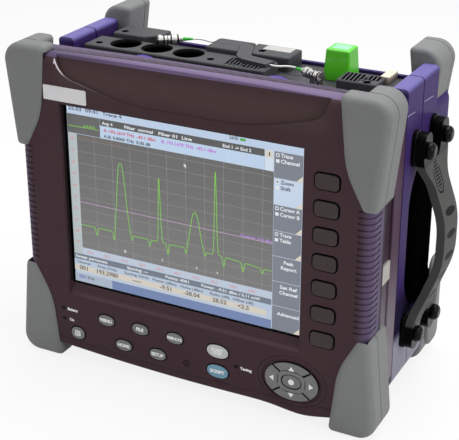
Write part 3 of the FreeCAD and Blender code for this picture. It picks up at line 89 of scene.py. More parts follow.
# the strap's dimples and ribbed slot, in the case frame
DIMPLE_PITCH, DIMPLE_TOP, DIMPLE_DEPTH = 19.3, 163.0, 107.0
SLOT_DEPTH, SLOT_MIDDLE, SLOT_HALF = 101.5, 195, 8
# the lit picture: half its width and height, its distance from the panel and the step between layers
SCREEN_SIDE, SCREEN_TOP = 105.6, 79.2
PICTURE_LIFT, LAYER_STEP = 0.02, 0.0006
# the keys' legends: the share of long or double ones, the key's margin and the share that words may fill
SMALL_LEGEND, LEGEND_MARGIN, LEGEND_SHARE = 0.85, 3, 0.82
# thickness and soft edge of labels and vent faces
SHEET = (0.12, 0.05)
# the oval keys, in millimetres: flange, play in the hole, soft edge and fullness, then the holes' rims
KEY_FLANGE, KEY_GAP, KEY_EDGE, KEY_OVAL = 2.0, 0.9, 1.3, 2.2
RIM_PROUD, RIM_DEEP = 0.05, 2.6
# the bezel's bowed, rounded foot and the chin below it, with its bulge under the pad
BEZEL_BOW, BEZEL_ROUND = 2.35e-4, 9.0
CHIN_LEFT, CHIN_RIGHT = -140.0, 134.0
CHIN_DROP, CHIN_REACH, CHIN_ROUND = 1.7, 6.5, 3.0
CHIN_BACK, CHIN_BACK_RISE = 8.0, 0.5
PAD_BULGE, PAD_BULGE_AT, PAD_BULGE_SPREAD = 4.7, 104.0, 24.0
# the stage: half the floor's width in metres, the floor's own white and the world's light
FLOOR_HALF = 6.0
FLOOR_WHITE = 0.85
WORLD_LIGHT = 0.32
SLOTS = {entry["node"]: entry["material_slot"] for entry in frame["record"]["subparts"]}


def srgb(red, green, blue):
    """A colour as it looks on a screen, 0 to 255 in each channel, turned into linear light."""
    share = np.array((red, green, blue)) / 255
    linear = np.where(share <= 0.04045, share / 12.92, ((share + 0.055) / 1.055) ** 2.4)
    return tuple(float(channel) for channel in linear)


def case_point(across, depth, height):
    """Row-frame points in metres for millimetres in the case frame; the three may be arrays."""
    parts = np.broadcast_arrays(CASE_MIDDLE + MM * across, CASE_FRONT + MM * depth, MM * height)
    return np.stack(parts, axis=-1)


def case_box(node):
    """The lowest and highest corner of a CAD node in the case frame, in millimetres."""
    shift = np.array((CASE_MIDDLE, CASE_FRONT, 0))
    return [(np.array(corner) - shift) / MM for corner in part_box(node)]


def middle_of(node):
    """The middle of a CAD node's box in the case frame."""
    low, high = case_box(node)
    return (low + high) / 2


def front_of(node):
    """The depth at which a CAD node begins in the case frame."""
    return case_box(node)[0][1]


def top_of(node):
    """The height at which a CAD node ends in the case frame."""
    return case_box(node)[1][2]


def colour_property(name, description, colour):
    """A colour that the user may change."""
    return FloatVectorProperty(
        name=name, description=description, default=colour, subtype="COLOR", size=3, min=0, max=1
    )


def length_property(name, description, millimetres):
    """A length that the user may change, kept in metres."""
    return FloatProperty(
        name=name, description=description, default=millimetres * MM, unit="LENGTH", min=0, precision=4
    )


class AnalyzerColours(bpy.types.PropertyGroup):
    """Colours of the finishes."""

    bezel: colour_property("Bezel", "Aubergine moulded front", srgb(66, 48, 53))
    # the rim's purple is partly the plastic's own and partly a painted reflection of the light above
    rim: colour_property("Rim", "Purple of the bezel's sides and top band", srgb(92, 79, 108))
    housing: colour_property("Housing", "Mauve shell behind the bezel", srgb(54, 38, 51))
    slice: colour_property("Slices", "Purple painted module frames", srgb(60, 44, 98))
    # the slices' foot colour is a painted reflection low on their right side
    foot: colour_property("Slice feet", "Paler paint low on the slices", srgb(138, 137, 152))
    bumper: colour_property("Bumpers", "Grey rubber of the corners", srgb(116, 117, 117))
    module: colour_property("Modules", "Dark paint of the plates on the deck", srgb(67, 67, 70))
    softkey: colour_property("Soft keys", "Keys beside the screen", srgb(62, 53, 52))
    key: colour_property("Keys", "Grey rubber keys", srgb(114, 114, 115))
    start: colour_property("Start key", "Pale key", srgb(194, 195, 194))
    script: colour_property("Script key", "Blue key", srgb(106, 150, 174))
    legend: colour_property("Legends", "Printing on keys and bezel", srgb(252, 252, 252))
    handle: colour_property("Handle", "Rubber of the strap", srgb(78, 78, 77))
    cap: colour_property("Cap", "Green plastic of the cap", srgb(82, 196, 26))
    trace: colour_property("Trace", "Curve on the screen", srgb(140, 226, 70))


class AnalyzerSizes(bpy.types.PropertyGroup):
    """Sizes of the small pieces."""

    legend: length_property("Legend height", "Capital letters on the keys", 2.9)
    lamp_legend: length_property("Lamp legend height", "Capital letters beside the lamps", 2.4)
    screw: length_property("Screw radius", "Screws of the deck plates", 3.1)
    badge_width: length_property("Badge width", "Bare plate on the bezel", 41.0)
    badge_height: length_property("Badge height", "Bare plate on the bezel", 12.4)
    trace: length_property("Trace width", "Curve on the screen", 0.55)


def colours():
    """The colours in use."""
    return bpy.context.scene.analyzer_colours


def sizes():
    """The sizes in use."""
    return bpy.context.scene.analyzer_sizes


class Wire:
    """A shader socket on which Python's arithmetic works: each operation adds one Math node."""

    def __init__(self, nodes, socket):
        self.nodes = nodes
        self.socket = socket

    def __add__(self, other):
        return self.nodes.math("ADD", self, other)

    def __radd__(self, other):
        return self.nodes.math("ADD", other, self)

    def __sub__(self, other):
        return self.nodes.math("SUBTRACT", self, other)

    def __rsub__(self, other):
        return self.nodes.math("SUBTRACT", other, self)

    def __mul__(self, other):
        return self.nodes.math("MULTIPLY", self, other)

    def __rmul__(self, other):
        return self.nodes.math("MULTIPLY", other, self)

    def __abs__(self):
        return self.nodes.math("ABSOLUTE", self)


class Nodes:
    """The shader nodes of a material or the world, written as expressions."""

    def __init__(self, tree):
        self.tree = tree
        tree.nodes.clear()

    def feed(self, socket, value):
        """Links a wire to a socket, or sets the socket's own value."""
        if isinstance(value, Wire):
            self.tree.links.new(value.socket, socket)
        else:
            colour = socket.type == "RGBA" and len(value) == 3
            socket.default_value = (*value, 1) if colour else value

    def node(self, kind, settings=None, sockets=None, output=0):
        """Any node: its settings are set first, then its sockets, by name or number; gives one output."""
        made = self.tree.nodes.new(kind)
        for name, value in (settings or {}).items():
            setattr(made, name, value)
        for name, value in (sockets or {}).items():
            self.feed(made.inputs[name], value)
        return Wire(self, made.outputs[output]) if made.outputs else None

    def math(self, operation, *values):
        """A Math node on wires and numbers."""
        return self.node("ShaderNodeMath", {"operation": operation}, dict(enumerate(values)))

    def either(self, mask, *others):
        """The greatest of several masks."""
        for other in others:
            mask = self.math("MAXIMUM", mask, other)
        return mask

    def background_rays(self):
        """1 for rays that show the background: the camera's own, in gloss and through glass."""
        kinds = ("Is Camera Ray", "Is Glossy Ray", "Is Transmission Ray")
        return self.either(*(self.node("ShaderNodeLightPath", output=kind) for kind in kinds))


class Finish(Nodes):
    """A material whose shader is a Principled BSDF."""

    def __init__(self, name, constants=None):
        self.material = bpy.data.materials.new(name)
        self.material.use_nodes = True
        super().__init__(self.material.node_tree)
        self.shader = self.tree.nodes.new("ShaderNodeBsdfPrincipled")
        self.output = self.tree.nodes.new("ShaderNodeOutputMaterial")
        self.lit = Wire(self, self.shader.outputs[0])
        self.show(self.lit)
        self.place = self.node("ShaderNodeTexCoord", output="Object")
        for socket, value in (constants or {}).items():
            self.put(socket, value)

    def show(self, surface):
        """Makes a shader's wire the material's surface."""
        self.feed(self.output.inputs["Surface"], surface)

    def axis(self, letter):
        """One coordinate of the surface point, in metres."""
        return self.node("ShaderNodeSeparateXYZ", sockets={0: self.place}, output=letter)

    def case_axes(self):
        """The surface point in the case frame: three wires in millimetres."""
        origin = zip("XYZ", (CASE_MIDDLE, CASE_FRONT, 0))
        return [(self.axis(letter) - low) * (1 / MM) for letter, low in origin]

    def stripes(self, value, period, share):
        """Stripes across a value: 1 over a share of each period, 0 over the rest."""
        phase = self.math("FRACT", value * (1 / period))
        return self.between(abs(phase - 0.5), share / 2 + 0.05, share / 2 - 0.05)

    def within(self, value, low, high, soft):
        """1 where a value lies between two bounds, fading to 0 over a soft edge on both sides."""
        return self.between(value, low - soft, low + soft) * self.between(value, high + soft, high - soft)

    def noise(self, size, detail=2.0, stretch=(1, 1, 1)):
        """Soft random values from 0 to 1 in patches of a size in metres, stretched along the axes."""
        scale = tuple(1 / (size * share) for share in stretch)
        place = self.node("ShaderNodeMapping", sockets={"Vector": self.place, "Scale": scale})
        return self.node("ShaderNodeTexNoise", sockets={"Vector": place, "Scale": 1.0, "Detail": detail})

    def grain(self, size):
        """Round pits of a size in metres, as on moulded plastic: 0 in the pit's middle."""
        place = self.node("ShaderNodeMapping", sockets={"Vector": self.place, "Scale": (1 / size,) * 3})
        sockets = {"Vector": place, "Scale": 1.0, "Smoothness": 0.4}
        return self.node("ShaderNodeTexVoronoi", {"feature": "SMOOTH_F1"}, sockets, output="Distance")

    def between(self, value, low, high):
        """A smooth step of a value: 0 at low, 1 at high."""
        sockets = {"Value": value, "From Min": low, "From Max": high}
        return self.node("ShaderNodeMapRange", {"interpolation_type": "SMOOTHSTEP"}, sockets)

    def blend(self, mask, first, second):
        """A colour that goes from the first to the second as the mask goes from 0 to 1."""
        return self.node("ShaderNodeMix", {"data_type": "RGBA"}, {0: mask, 6: first, 7: second}, output=2)

    def clouded(self, colour, size, detail, spread):
        """A colour that drifts by a share to either side in patches of a size in metres."""
        return self.blend(self.noise(size, detail), tone(colour, 1 - spread), tone(colour, 1 + spread))

    def put(self, name, value):
        """Feeds one of the shader's sockets."""
        self.feed(self.shader.inputs[name], value)

    def coat(self, colour, roughness, height, depth):
        """The finished material: a colour, a roughness and a height from 0 to 1 for a depth in metres."""
        bump = self.node("ShaderNodeBump", sockets={"Height": height, "Distance": depth, "Strength": 1.0})
        for name, value in (("Base Color", colour), ("Roughness", roughness), ("Normal", bump)):
            self.put(name, value)
        return self.material


def tone(colour, factor):
    """A colour made lighter or darker by a factor, within range."""
    return tuple(min(1.0, channel * factor) for channel in colour)


def specular(level):
    """The shader's constant for how strongly a finish mirrors at its surface."""
    return {"Specular IOR Level": level}


def moulded(name, colour, roughness, grain, constants=None, shade_behind=None):
    """Moulded plastic or rubber: fine pits, cloudy tone and uneven gloss, with painted shade: black behind
    a given depth.
    """
    finish = Finish(name, constants)
    size, depth = grain
    speck = finish.noise(2.2 * size, detail=1.0)
    worn_and_shaded = finish.clouded(colour, 0.03, 4.0, 0.1)
    worn_and_shaded = finish.blend(0.35 * speck, worn_and_shaded, tone(colour, 1.35))
    # painted shade: behind the given depth a key's side goes black, as the gap round the key would be in
    # shade
    if shade_behind:
        behind = finish.between(finish.case_axes()[1], shade_behind, shade_behind + 0.12)
        worn_and_shaded = finish.blend(behind, worn_and_shaded, srgb(6, 5, 6))
    return finish.coat(worn_and_shaded, roughness - 0.06 + 0.12 * finish.noise(0.004), finish.grain(size), depth)


def bezel_plastic(name, front, rim):
    """Pearly plastic: brown in front, purple on the sides and on the top band with its corded line, that
    purple partly a painted reflection; with painted highlights and painted shade in the gaps.
    """
    finish = Finish(name, specular(0.07))
    across, depth, height = finish.case_axes()
    band = finish.between(height - BAND_LEAN * across, BAND_FOOT, BAND_FOOT + 0.6)
    shoulder = finish.either(finish.between(abs(across), 146, 156), band)
    base = front_sheen(finish, finish.clouded(front, 0.03, 4.0, 0.08), across, depth, height)
    # partly painted reflection: the sides and the top band take the rim's purple, partly the plastic's own
    # and partly the light from above
    base = finish.blend(shoulder, base, rim)
    behind = depth - CORD_SLANT * across - CORD_FRONT
    # painted highlight: a paler strip on the band in front of the cord, fading out towards the middle
    ledge = band * finish.between(behind, 0.5, -0.5) * finish.between(across, -112, -40)
    base = finish.blend(ledge, base, tone(rim, 1.6))
    base = finish.blend(corded_line(finish, across, behind) * band, base, tone(rim, 0.1))
    base = finish.blend(scoop_glint(finish, across, depth, height), base, srgb(226, 220, 228))
    # painted shade: the gaps, the screen opening's wall, the seam, the bottom edge and the groove round the
    # pad go nearly black
    black = finish.either(bezel_gap_shade(finish, across, depth, height), pad_ring(finish, across, height))
    base = finish.blend(black, base, srgb(4, 3, 4))
    speck = finish.noise(0.0015, detail=1.0)
    base = finish.blend(0.25 * speck, base, tone(front, 1.6))
    rough = 0.4 + 0.1 * finish.noise(0.004) - 0.08 * shoulder
    return finish.coat(base, rough, finish.grain(0.0007), 0.00005)


def front_sheen(finish, base, across, depth, height):
    """A colour with a painted warm sheen over the scoop and a painted highlight on the ledge's edge below
    the screen.
    """
    sheen = finish.within(height, 252, 270, 8) * finish.within(across, -118, 118, 6)
    base = finish.blend(0.3 * sheen, base, srgb(92, 78, 66))
    # painted highlight: a paler line along the ledge's edge below the screen
    ridge = finish.within(depth, 3.5, 4.8, 0.5) * finish.within(height, 59, 69, 1)
    ridge = ridge * finish.between(abs(across), 119, 100)
    return finish.blend(0.28 * ridge, base, srgb(112, 94, 106))


def corded_line(finish, across, behind):
    """A mask of the cord laid along the top band: a dark line in front and slanting strands behind it."""
    strands = finish.within(behind, 0, 6.5, 0.4) * finish.stripes(across + 4.0 * behind, 11.0, 0.5)
    return finish.either(finish.within(behind, -1.2, 0.9, 0.3), strands)


def scoop_glint(finish, across, depth, height):
    """A mask of the light on the scoop's wall, which lies between the front face and the leaning floor."""
    floor = 3.8 + SCOOP_LEAN * (height - SCOOP_FOOT)
    wall = finish.within(depth, 3.2, 4.9, 0.15) * finish.between(floor - depth, 0.15, 0.45)
    wall = wall * finish.between(height, SCOOP_FOOT, SCOOP_FOOT + 1)
    wall = wall * finish.between(abs(across), SCOOP_HALF + 0.2, SCOOP_HALF - 0.2)
    shine = finish.between(across, -108, -117) + 0.16 * finish.between(across, -50, -108)
    return wall * shine


def bezel_gap_shade(finish, across, depth, height):
    """A mask of painted shade in the gaps: round the keys (less in the pad's), beside the screen and in its
    opening, behind and below.
    """
    beside = finish.within(across, 104, 138, 1) * finish.within(height, 78, 236, 1)
    below = finish.within(height, 22, 59, 1) * finish.between(abs(across), 142, 140)
    pad = below * finish.between(across, 55, 60)
    holes = finish.either(beside, below) * finish.between(depth - 0.9 * pad, 3.1, 3.4)
    reveal = finish.within(across, -118, -104, 0.5) * finish.within(height, 76, 242, 1)
    reveal = reveal * finish.between(depth, 4.8, 5.8)
    seam = finish.within(depth, 25.4, 29.6, 0.4) * finish.between(abs(across), 155.4, 156.6)
    under = finish.between(height, 11.5, 10.5) * finish.between(depth, 3.3, 4.1)
    return finish.either(holes, reveal, under, 0.85 * seam)


def pad_ring(finish, across, height):
    """A mask of a fine elliptic line round the four-way pad: the painted shade of a groove."""
    left, right = case_box("nav_left")[0][0], case_box("nav_right")[1][0]
    low, high = case_box("nav_down")[0][2], case_box("nav_up")[1][2]
    share = 1.19
    aside = (across - (left + right) / 2) * (2 / (right - left) / share)
    above = (height - (low + high) / 2) * (2 / (high - low) / share)
    return 0.8 * finish.within(finish.math("SQRT", aside * aside + above * above), 0.985, 1.01, 0.01)


def slice_paint(name, colour, foot):
    """Sprayed paint of the slices, with a seam and ticks; the pale crowns and the pale foot low on the
    right are painted reflections, the dark band above that foot painted shade.
    """
    finish = Finish(name, specular(0.02))
    across, depth, height = finish.case_axes()
    scuff = finish.between(finish.noise(0.0015, detail=3.0, stretch=(1, 14, 1)), 0.66, 0.8)
    base = finish.clouded(colour, 0.05, 3.0, 0.08)
    # painted reflection: the crowns go pale lavender, as if lit from above
    base = finish.blend(finish.between(height, 267.5, 272.5), base, srgb(112, 106, 164))
    right = finish.between(across, 150, 156)
    # painted shade: a dark band low on the right side, below the strap's lugs and above the foot
    base = finish.blend(right * finish.between(height, 108, 86), base, srgb(36, 29, 56))
    # painted reflection: the foot of the right side goes pale
    base = finish.blend(right * finish.between(height, 62, 52), base, foot)
    seam = case_box("front_slice")[1][1]
    base = finish.blend(finish.within(depth, seam - 0.7, seam + 0.7, 0.2), base, srgb(26, 16, 46))
    for start, end, level in ((66, 83, 251.0), (104.4, 125.4, 251.4)):
        tick = finish.within(height + (depth - start) * 0.08 - level, -0.2, 0.2, 0.1)
        tick = tick * finish.within(depth, start, end, 0.2) * finish.between(across, 156, 156.8)
        base = finish.blend(tick, base, srgb(190, 186, 214))
    base = finish.blend(0.12 * scuff, base, tone(colour, 1.8))
    rough = 0.3 + 0.12 * scuff + 0.06 * finish.noise(0.01)
    return finish.coat(base, rough, finish.noise(0.0022, detail=1.0), 0.00006)


def housing_plastic(name, colour):
    """Pearly plastic of the housing: paler behind, with a painted reflection of the floor low on the right,
    and purple domes on its top.
    """
    finish = Finish(name, specular(0.04))
    across, depth, height = finish.case_axes()
    base = finish.clouded(colour, 0.03, 4.0, 0.1)
    base = finish.blend(finish.between(depth, 45, 52), base, tone(colour, 2.0))
    # painted reflection of the floor: the housing goes paler low on the right
    low = finish.between(height, 160, 60) * finish.between(across, 148, 153)
    base = finish.blend(low, base, srgb(130, 121, 131))
    base = finish.blend(finish.between(height, 268, 269), base, srgb(86, 66, 150))
    return finish.coat(base, 0.36 + 0.1 * finish.noise(0.004), finish.grain(0.0007), 0.00004)


def strap_rubber(name, colour):
    """Strap rubber: black fork ends, slanting dimples along the outer face and a ribbed slot near the top,
    their hollows in painted shade.

    The dimples are ellipses repeated down the strap; the slot is all that lies near an upright line.
    """
    finish = Finish(name, specular(0.06))
    across, depth, height = finish.case_axes()
    low, high = case_box("handle_strap")
    along = (depth - DIMPLE_DEPTH) * (1 / 11)
    below = height + (depth - DIMPLE_DEPTH) * 0.13 - DIMPLE_TOP
    drop = finish.math("WRAP", below, DIMPLE_PITCH / 2, -DIMPLE_PITCH / 2) * (1 / 3.4)
    dimple = finish.between(finish.math("SQRT", along * along + drop * drop), 1.12, 0.85)
    lowest, highest = DIMPLE_TOP - 4.4 * DIMPLE_PITCH, DIMPLE_TOP + 0.5 * DIMPLE_PITCH
    dimple = dimple * finish.within(height, lowest, highest, 0.5)
    aside = depth - SLOT_DEPTH
    beyond = finish.either(abs(height - SLOT_MIDDLE) - SLOT_HALF, 0)
    reach = finish.math("SQRT", aside * aside + beyond * beyond)
    slot = finish.between(reach, 4.2, 3.8) * finish.stripes(height, 2.6, 0.5)
    groove = finish.within(reach, 6.0, 7.4, 0.3) * finish.between(height, 203, 196)
    # painted shade: the dimples, the slot's ribs and the groove go nearly black, as their hollows would in
    # shade
    hollow = finish.either(dimple, slot, groove) * finish.between(across, 167.5, 168.5)
    upper = finish.between(height, high[2] - 28, high[2] - 25)
    end = finish.either(upper, finish.between(height, low[2] + 24, low[2] + 21))
    cloud = finish.noise(0.02, detail=3.0)
    rubber = finish.blend(cloud, tone(colour, 0.85), tone(colour, 1.15))
    rubber = finish.blend(end, rubber, srgb(10, 10, 11))
    rubber = finish.blend(hollow, rubber, srgb(8, 8, 8))
    rough = 0.5 - 0.32 * end + 0.08 * cloud
    return finish.coat(rubber, rough, 0.05 * finish.grain(0.0008) - hollow, 0.0012)


def banded_metal(name, across_share, depth_share):
    """Nickel plate with dark turned grooves across a connector, whose level axis is given."""
    finish = Finish(name, {"Metallic": 1.0})
    across, depth = finish.case_axes()[:2]
    along = across * across_share + depth * depth_share
    line = finish.noise(0.0012, detail=2.0)
    mark = finish.between(finish.noise(0.0025, detail=3.0), 0.54, 0.62)
    wide, narrow = finish.stripes(along, 6.1, 0.22), finish.stripes(along + 1.7, 8.3, 0.12)
    band = finish.either(wide, narrow, 0.6 * mark)
    plate = finish.blend(band, srgb(206, 204, 202), srgb(40, 36, 34))
    return finish.coat(plate, 0.2 + 0.2 * line, band, 0.0003)


def slatted(name, colour):
    """A vent's face: slots in painted shade, black between leaning slats, drawn as stripes across the level
    face.
    """
    finish = Finish(name, specular(0.0))
    across, depth = finish.case_axes()[:2]
    slot = finish.stripes(across + 0.1 * depth + 0.3 * finish.noise(0.004), 3.3, 0.55)
    # painted shade: the slots between the slats go black
    slats = finish.blend(slot, tone(colour, 1.7), srgb(2, 2, 2))
    return finish.coat(slats, 0.6 + 0.1 * finish.noise(0.002), slot, -0.0005)


def socket_rubber(name):
    """The sockets' black sleeves: a paler, mottled rim above a dark bore."""
    finish = Finish(name, specular(0.0))
    height = finish.case_axes()[2]
    top = top_of("socket_plate")
    rim = finish.between(height, top - 4, top - 0.5) * finish.noise(0.002)
    sleeve = finish.blend(rim, srgb(1, 1, 1), srgb(36, 38, 36))
    return finish.coat(sleeve, 0.7 + 0.2 * finish.noise(0.003), finish.grain(0.0006), 0.00004)


def turned(name, colour, roughness):
    """Turned metal: fine lines and smears."""
    finish = Finish(name, {"Metallic": 1.0})
    line = finish.noise(0.0004, detail=2.0, stretch=(1, 1, 12))
    metal = finish.blend(line, tone(colour, 0.8), tone(colour, 1.1))
    return finish.coat(metal, roughness + 0.15 * finish.noise(0.003), line, 0.00003)


def glossy(name, colour, roughness, level=0.5):
    """Polished plastic: nearly plain, with faint smears in its gloss."""
    finish = Finish(name, {**specular(level), "Coat Weight": 0.4 * level, "Coat Roughness": 0.05})
    smear = finish.noise(0.006, detail=4.0)
    gloss = finish.blend(smear, tone(colour, 0.85), tone(colour, 1.15))
    return finish.coat(gloss, roughness + 0.15 * smear, finish.noise(0.0015), 0.00002)


def printed(name, colour):
    """Ink or a paper label: matt, slightly mottled."""
    finish = Finish(name)
    mottle = finish.noise(0.0006, detail=2.0)
    ink = finish.blend(mottle, tone(colour, 0.9), tone(colour, 1.05))
    return finish.coat(ink, 0.5 + 0.15 * mottle, mottle, 0.00001)


def circuit(name, colour):
    """Lacquered circuit board: copper tracks under the lacquer."""
    finish = Finish(name, {"Coat Weight": 0.5})
    wide = finish.noise(0.004, detail=1.0, stretch=(4, 1, 1))
    track = finish.between(abs(wide - 0.5), 0.03, 0.02)
    lacquer = finish.blend(track, colour, tone(colour, 1.9))
    return finish.coat(lacquer, 0.35 + 0.1 * finish.noise(0.002), track, 0.00004)


def clear_pane(name):
    """The pane over the screen: nearly clear, with a faint dark tint and a few smears."""
    finish = Finish(name, {"Base Color": srgb(20, 22, 26)})
    smear = finish.noise(0.02, detail=5.0)
    finish.put("Roughness", 0.12 + 0.1 * smear)
    finish.put("Alpha", 0.06 + 0.04 * smear)
    return finish.material


def lit_image(name):
    """The lit picture: each patch's own colour shines, with the display's fine dots in it."""
    finish = Finish(name, {"Base Color": srgb(8, 8, 10), "Roughness": 0.45, "Emission Strength": 1.0})
    ink = finish.node("ShaderNodeAttribute", {"attribute_name": "ink"}, output="Color")
    dots = finish.noise(0.0005, detail=1.0)
    shade = finish.node("ShaderNodeMix", {"data_type": "RGBA", "blend_type": "MULTIPLY"},
                        {0: 0.25 * dots, 6: ink, 7: srgb(150, 150, 160)}, output=2)
    finish.put("Emission Color", shade)
    return finish.material


def finishes():
    """The finish of each of the record's material slots."""
    c = colours()
    return {
        "bezel": bezel_plastic("bezel_plastic", c.bezel, c.rim),
        "slice": slice_paint("purple_paint", c.slice, c.foot),
        "bumper": moulded("bumper_rubber", c.bumper, 0.62, RUBBER_GRAIN, specular(0.25)),
        "module": moulded("module_paint", c.module, 0.5, (0.0005, 0.00004), specular(0.15)),
        "window": clear_pane("screen_pane"),
        "display": moulded("display_frame", srgb(12, 12, 14), 0.4, (0.0008, 0.00002)),
        "board": circuit("circuit_board", srgb(18, 70, 35)),
        "battery": moulded("battery_wrap", srgb(40, 40, 44), 0.45, (0.001, 0.00002)),
        "light": glossy("lamp_lens", srgb(7, 5, 6), 0.15, 0.1),
        "tab": moulded("tab_plastic", srgb(168, 164, 158), 0.45, (0.0006, 0.00003)),
        "steel": turned("nickel_plate", srgb(205, 205, 208), 0.22),
        "boot": moulded("boot_rubber", srgb(30, 170, 30), 0.45, (0.0005, 0.00002)),
        "fibre": glossy("fibre_jacket", srgb(238, 238, 235), 0.35),
        "cap": moulded("cap_plastic", c.cap, 0.4, (0.0006, 0.00003), {"Coat Weight": 0.2}),
        "handle": strap_rubber("strap_rubber", c.handle),
        "stud": glossy("stud_plastic", srgb(9, 9, 10), 0.1, 0.08),
        "liner": moulded("well_liner", srgb(4, 4, 4), 0.85, (0.0008, 0.00005), specular(0.0)),
        # the last number of a key's finish is the depth behind which its side is painted black as shade
        "key_black": moulded("softkey_rubber", c.softkey, 0.45, FINE_GRAIN, specular(0.15), 1.84),
        "key_grey": moulded("key_rubber", c.key, 0.35, FINE_GRAIN, specular(0.4), 2.3),
        "key_light": moulded("start_key_rubber", c.start, 0.4, FINE_GRAIN, None, 2.3),
        "key_blue": moulded("script_key_rubber", c.script, 0.4, FINE_GRAIN, None, 2.3),
    }


def node_finishes(made):
    """The finishes of single nodes that differ from the rest of their slot."""
    # painted light: the lower bumpers get a paler copy of the bumper rubber, as if more brightly lit
    pale = tone(colours().bumper, 1.12)
    lit_bumper = moulded("lit_bumper_rubber", pale, 0.62, RUBBER_GRAIN, specular(0.25))
    return {
        "base_housing": housing_plastic("housing_plastic", colours().housing),
        "handle_lugs": made["stud"],
        **{node: lit_bumper for node in SLOTS if "bumper_bottom" in node},
        "connector_left": banded_metal("nickel_left", 0.85, 0.53),
        "connector_right": banded_metal("nickel_right", -0.9, 0.44),
    }


def piece(name, points, faces, finish, body, slot, closed=True, smooth=True):
    """A new piece from points in metres and faces, on its body; a closed one gets outward faces."""
    mesh = bpy.data.meshes.new(name)
    mesh.from_pydata(np.asarray(points).reshape(-1, 3).tolist(), [], [list(face) for face in faces])
    mesh.validate()
    if closed:
        work = bmesh.new()
        work.from_mesh(mesh)
        bmesh.ops.remove_doubles(work, verts=work.verts, dist=1e-7)
        bmesh.ops.recalc_face_normals(work, faces=work.faces)
        work.to_mesh(mesh)
        work.free()
    mesh.polygons.foreach_set("use_smooth", np.full(len(mesh.polygons), smooth))
    mesh.materials.append(finish)
    made = bpy.data.objects.new(name, mesh)
    bpy.context.scene.collection.objects.link(made)
    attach(made, body)
    return made


def grid_faces(rows, columns, wrap=False):
    """Quads between the neighbours of a grid of points; wrap joins the last column to the first."""
    row, column = np.meshgrid(np.arange(rows - 1), np.arange(columns - (not wrap)), indexing="ij")
    after = (column + 1) % columns
    corners = [row * columns + column, row * columns + after]
    corners += [(row + 1) * columns + after, (row + 1) * columns + column]
    return np.stack(corners, axis=-1).reshape(-1, 4).tolist()


def ring_stack(rings):
    """A closed solid skin through rings of points (rows, columns, 3), with a flat face at either end."""
    rows, columns = rings.shape[:2]
    faces = grid_faces(rows, columns, wrap=True)
    faces.append(list(range(columns)))
    faces.append(list(range((rows - 1) * columns, rows * columns)))
    return rings.reshape(-1, 3), faces


def skin(name, rings, finish, body, slot):
    """A closed piece through rings of points in the row frame."""
    return piece(name, *ring_stack(rings), finish, body, slot)


def lay(name, rings, place, finish, body="case", slot="module"):
    """A closed piece through level rings in millimetres, set at a place in the case frame."""
    return skin(name, case_point(*np.moveaxis(rings + np.array(place), -1, 0)), finish, body, slot)


def rounded_outline(width, height, corner, steps=6):
    """A rectangle's outline with its corners rounded: four quarter circles in turn, as (n, 2) points."""
    turn = np.linspace(0, np.pi / 2, steps)
    quarter = np.arange(4)[:, None] * np.pi / 2 + turn
    centre = np.array([[1, 1], [-1, 1], [-1, -1], [1, -1]]) * (width / 2 - corner, height / 2 - corner)
    arc = corner * np.stack([np.cos(quarter), np.sin(quarter)], axis=-1)
    return (centre[:, None, :] + arc).reshape(-1, 2)


def joined(parts):
    """Several (points, faces) as one."""
    points, faces, count = [], [], 0
    for part_points, part_faces in parts:
        points.append(part_points)
        faces += [[index + count for index in face] for face in part_faces]
        count += len(part_points)
    return np.concatenate(points), faces


def on_front(flat, across, depth, height):
    """Flat points (n, 2) set upright at a place in the case frame, read from the front."""
    return case_point(across + flat[:, 0], np.full(len(flat), depth), height + flat[:, 1])


def flat_print(name, flat, faces, place, ink, body, slot):
    """Flat printing: points (n, 2) set upright at a place (across, depth, height) in the case frame."""
    piece(name, on_front(flat, *place), faces, ink, body, slot, closed=False, smooth=False)


def lettering(words, height, align="CENTER", bold=0.0):
    """The flat outlines of words with capitals of a height, swollen when bold: points (n, 2) and faces."""
    curve = bpy.data.curves.new("words", "FONT")
    curve.offset = bold
    curve.body = words
    curve.align_x = align
    curve.align_y = "CENTER"
    curve.resolution_u = 3
    curve.space_line = 0.85
    holder = bpy.data.objects.new("words", curve)
    bpy.context.scene.collection.objects.link(holder)
    mesh = bpy.data.meshes.new_from_object(holder.evaluated_get(bpy.context.evaluated_depsgraph_get()))
    flat = np.empty(3 * len(mesh.vertices))
    mesh.vertices.foreach_get("co", flat)
    faces = [list(polygon.vertices) for polygon in mesh.polygons]
    bpy.data.objects.remove(holder)
    bpy.data.curves.remove(curve)
    bpy.data.meshes.remove(mesh)
    return flat.reshape(-1, 3)[:, :2] * height / CAP_SHARE, faces


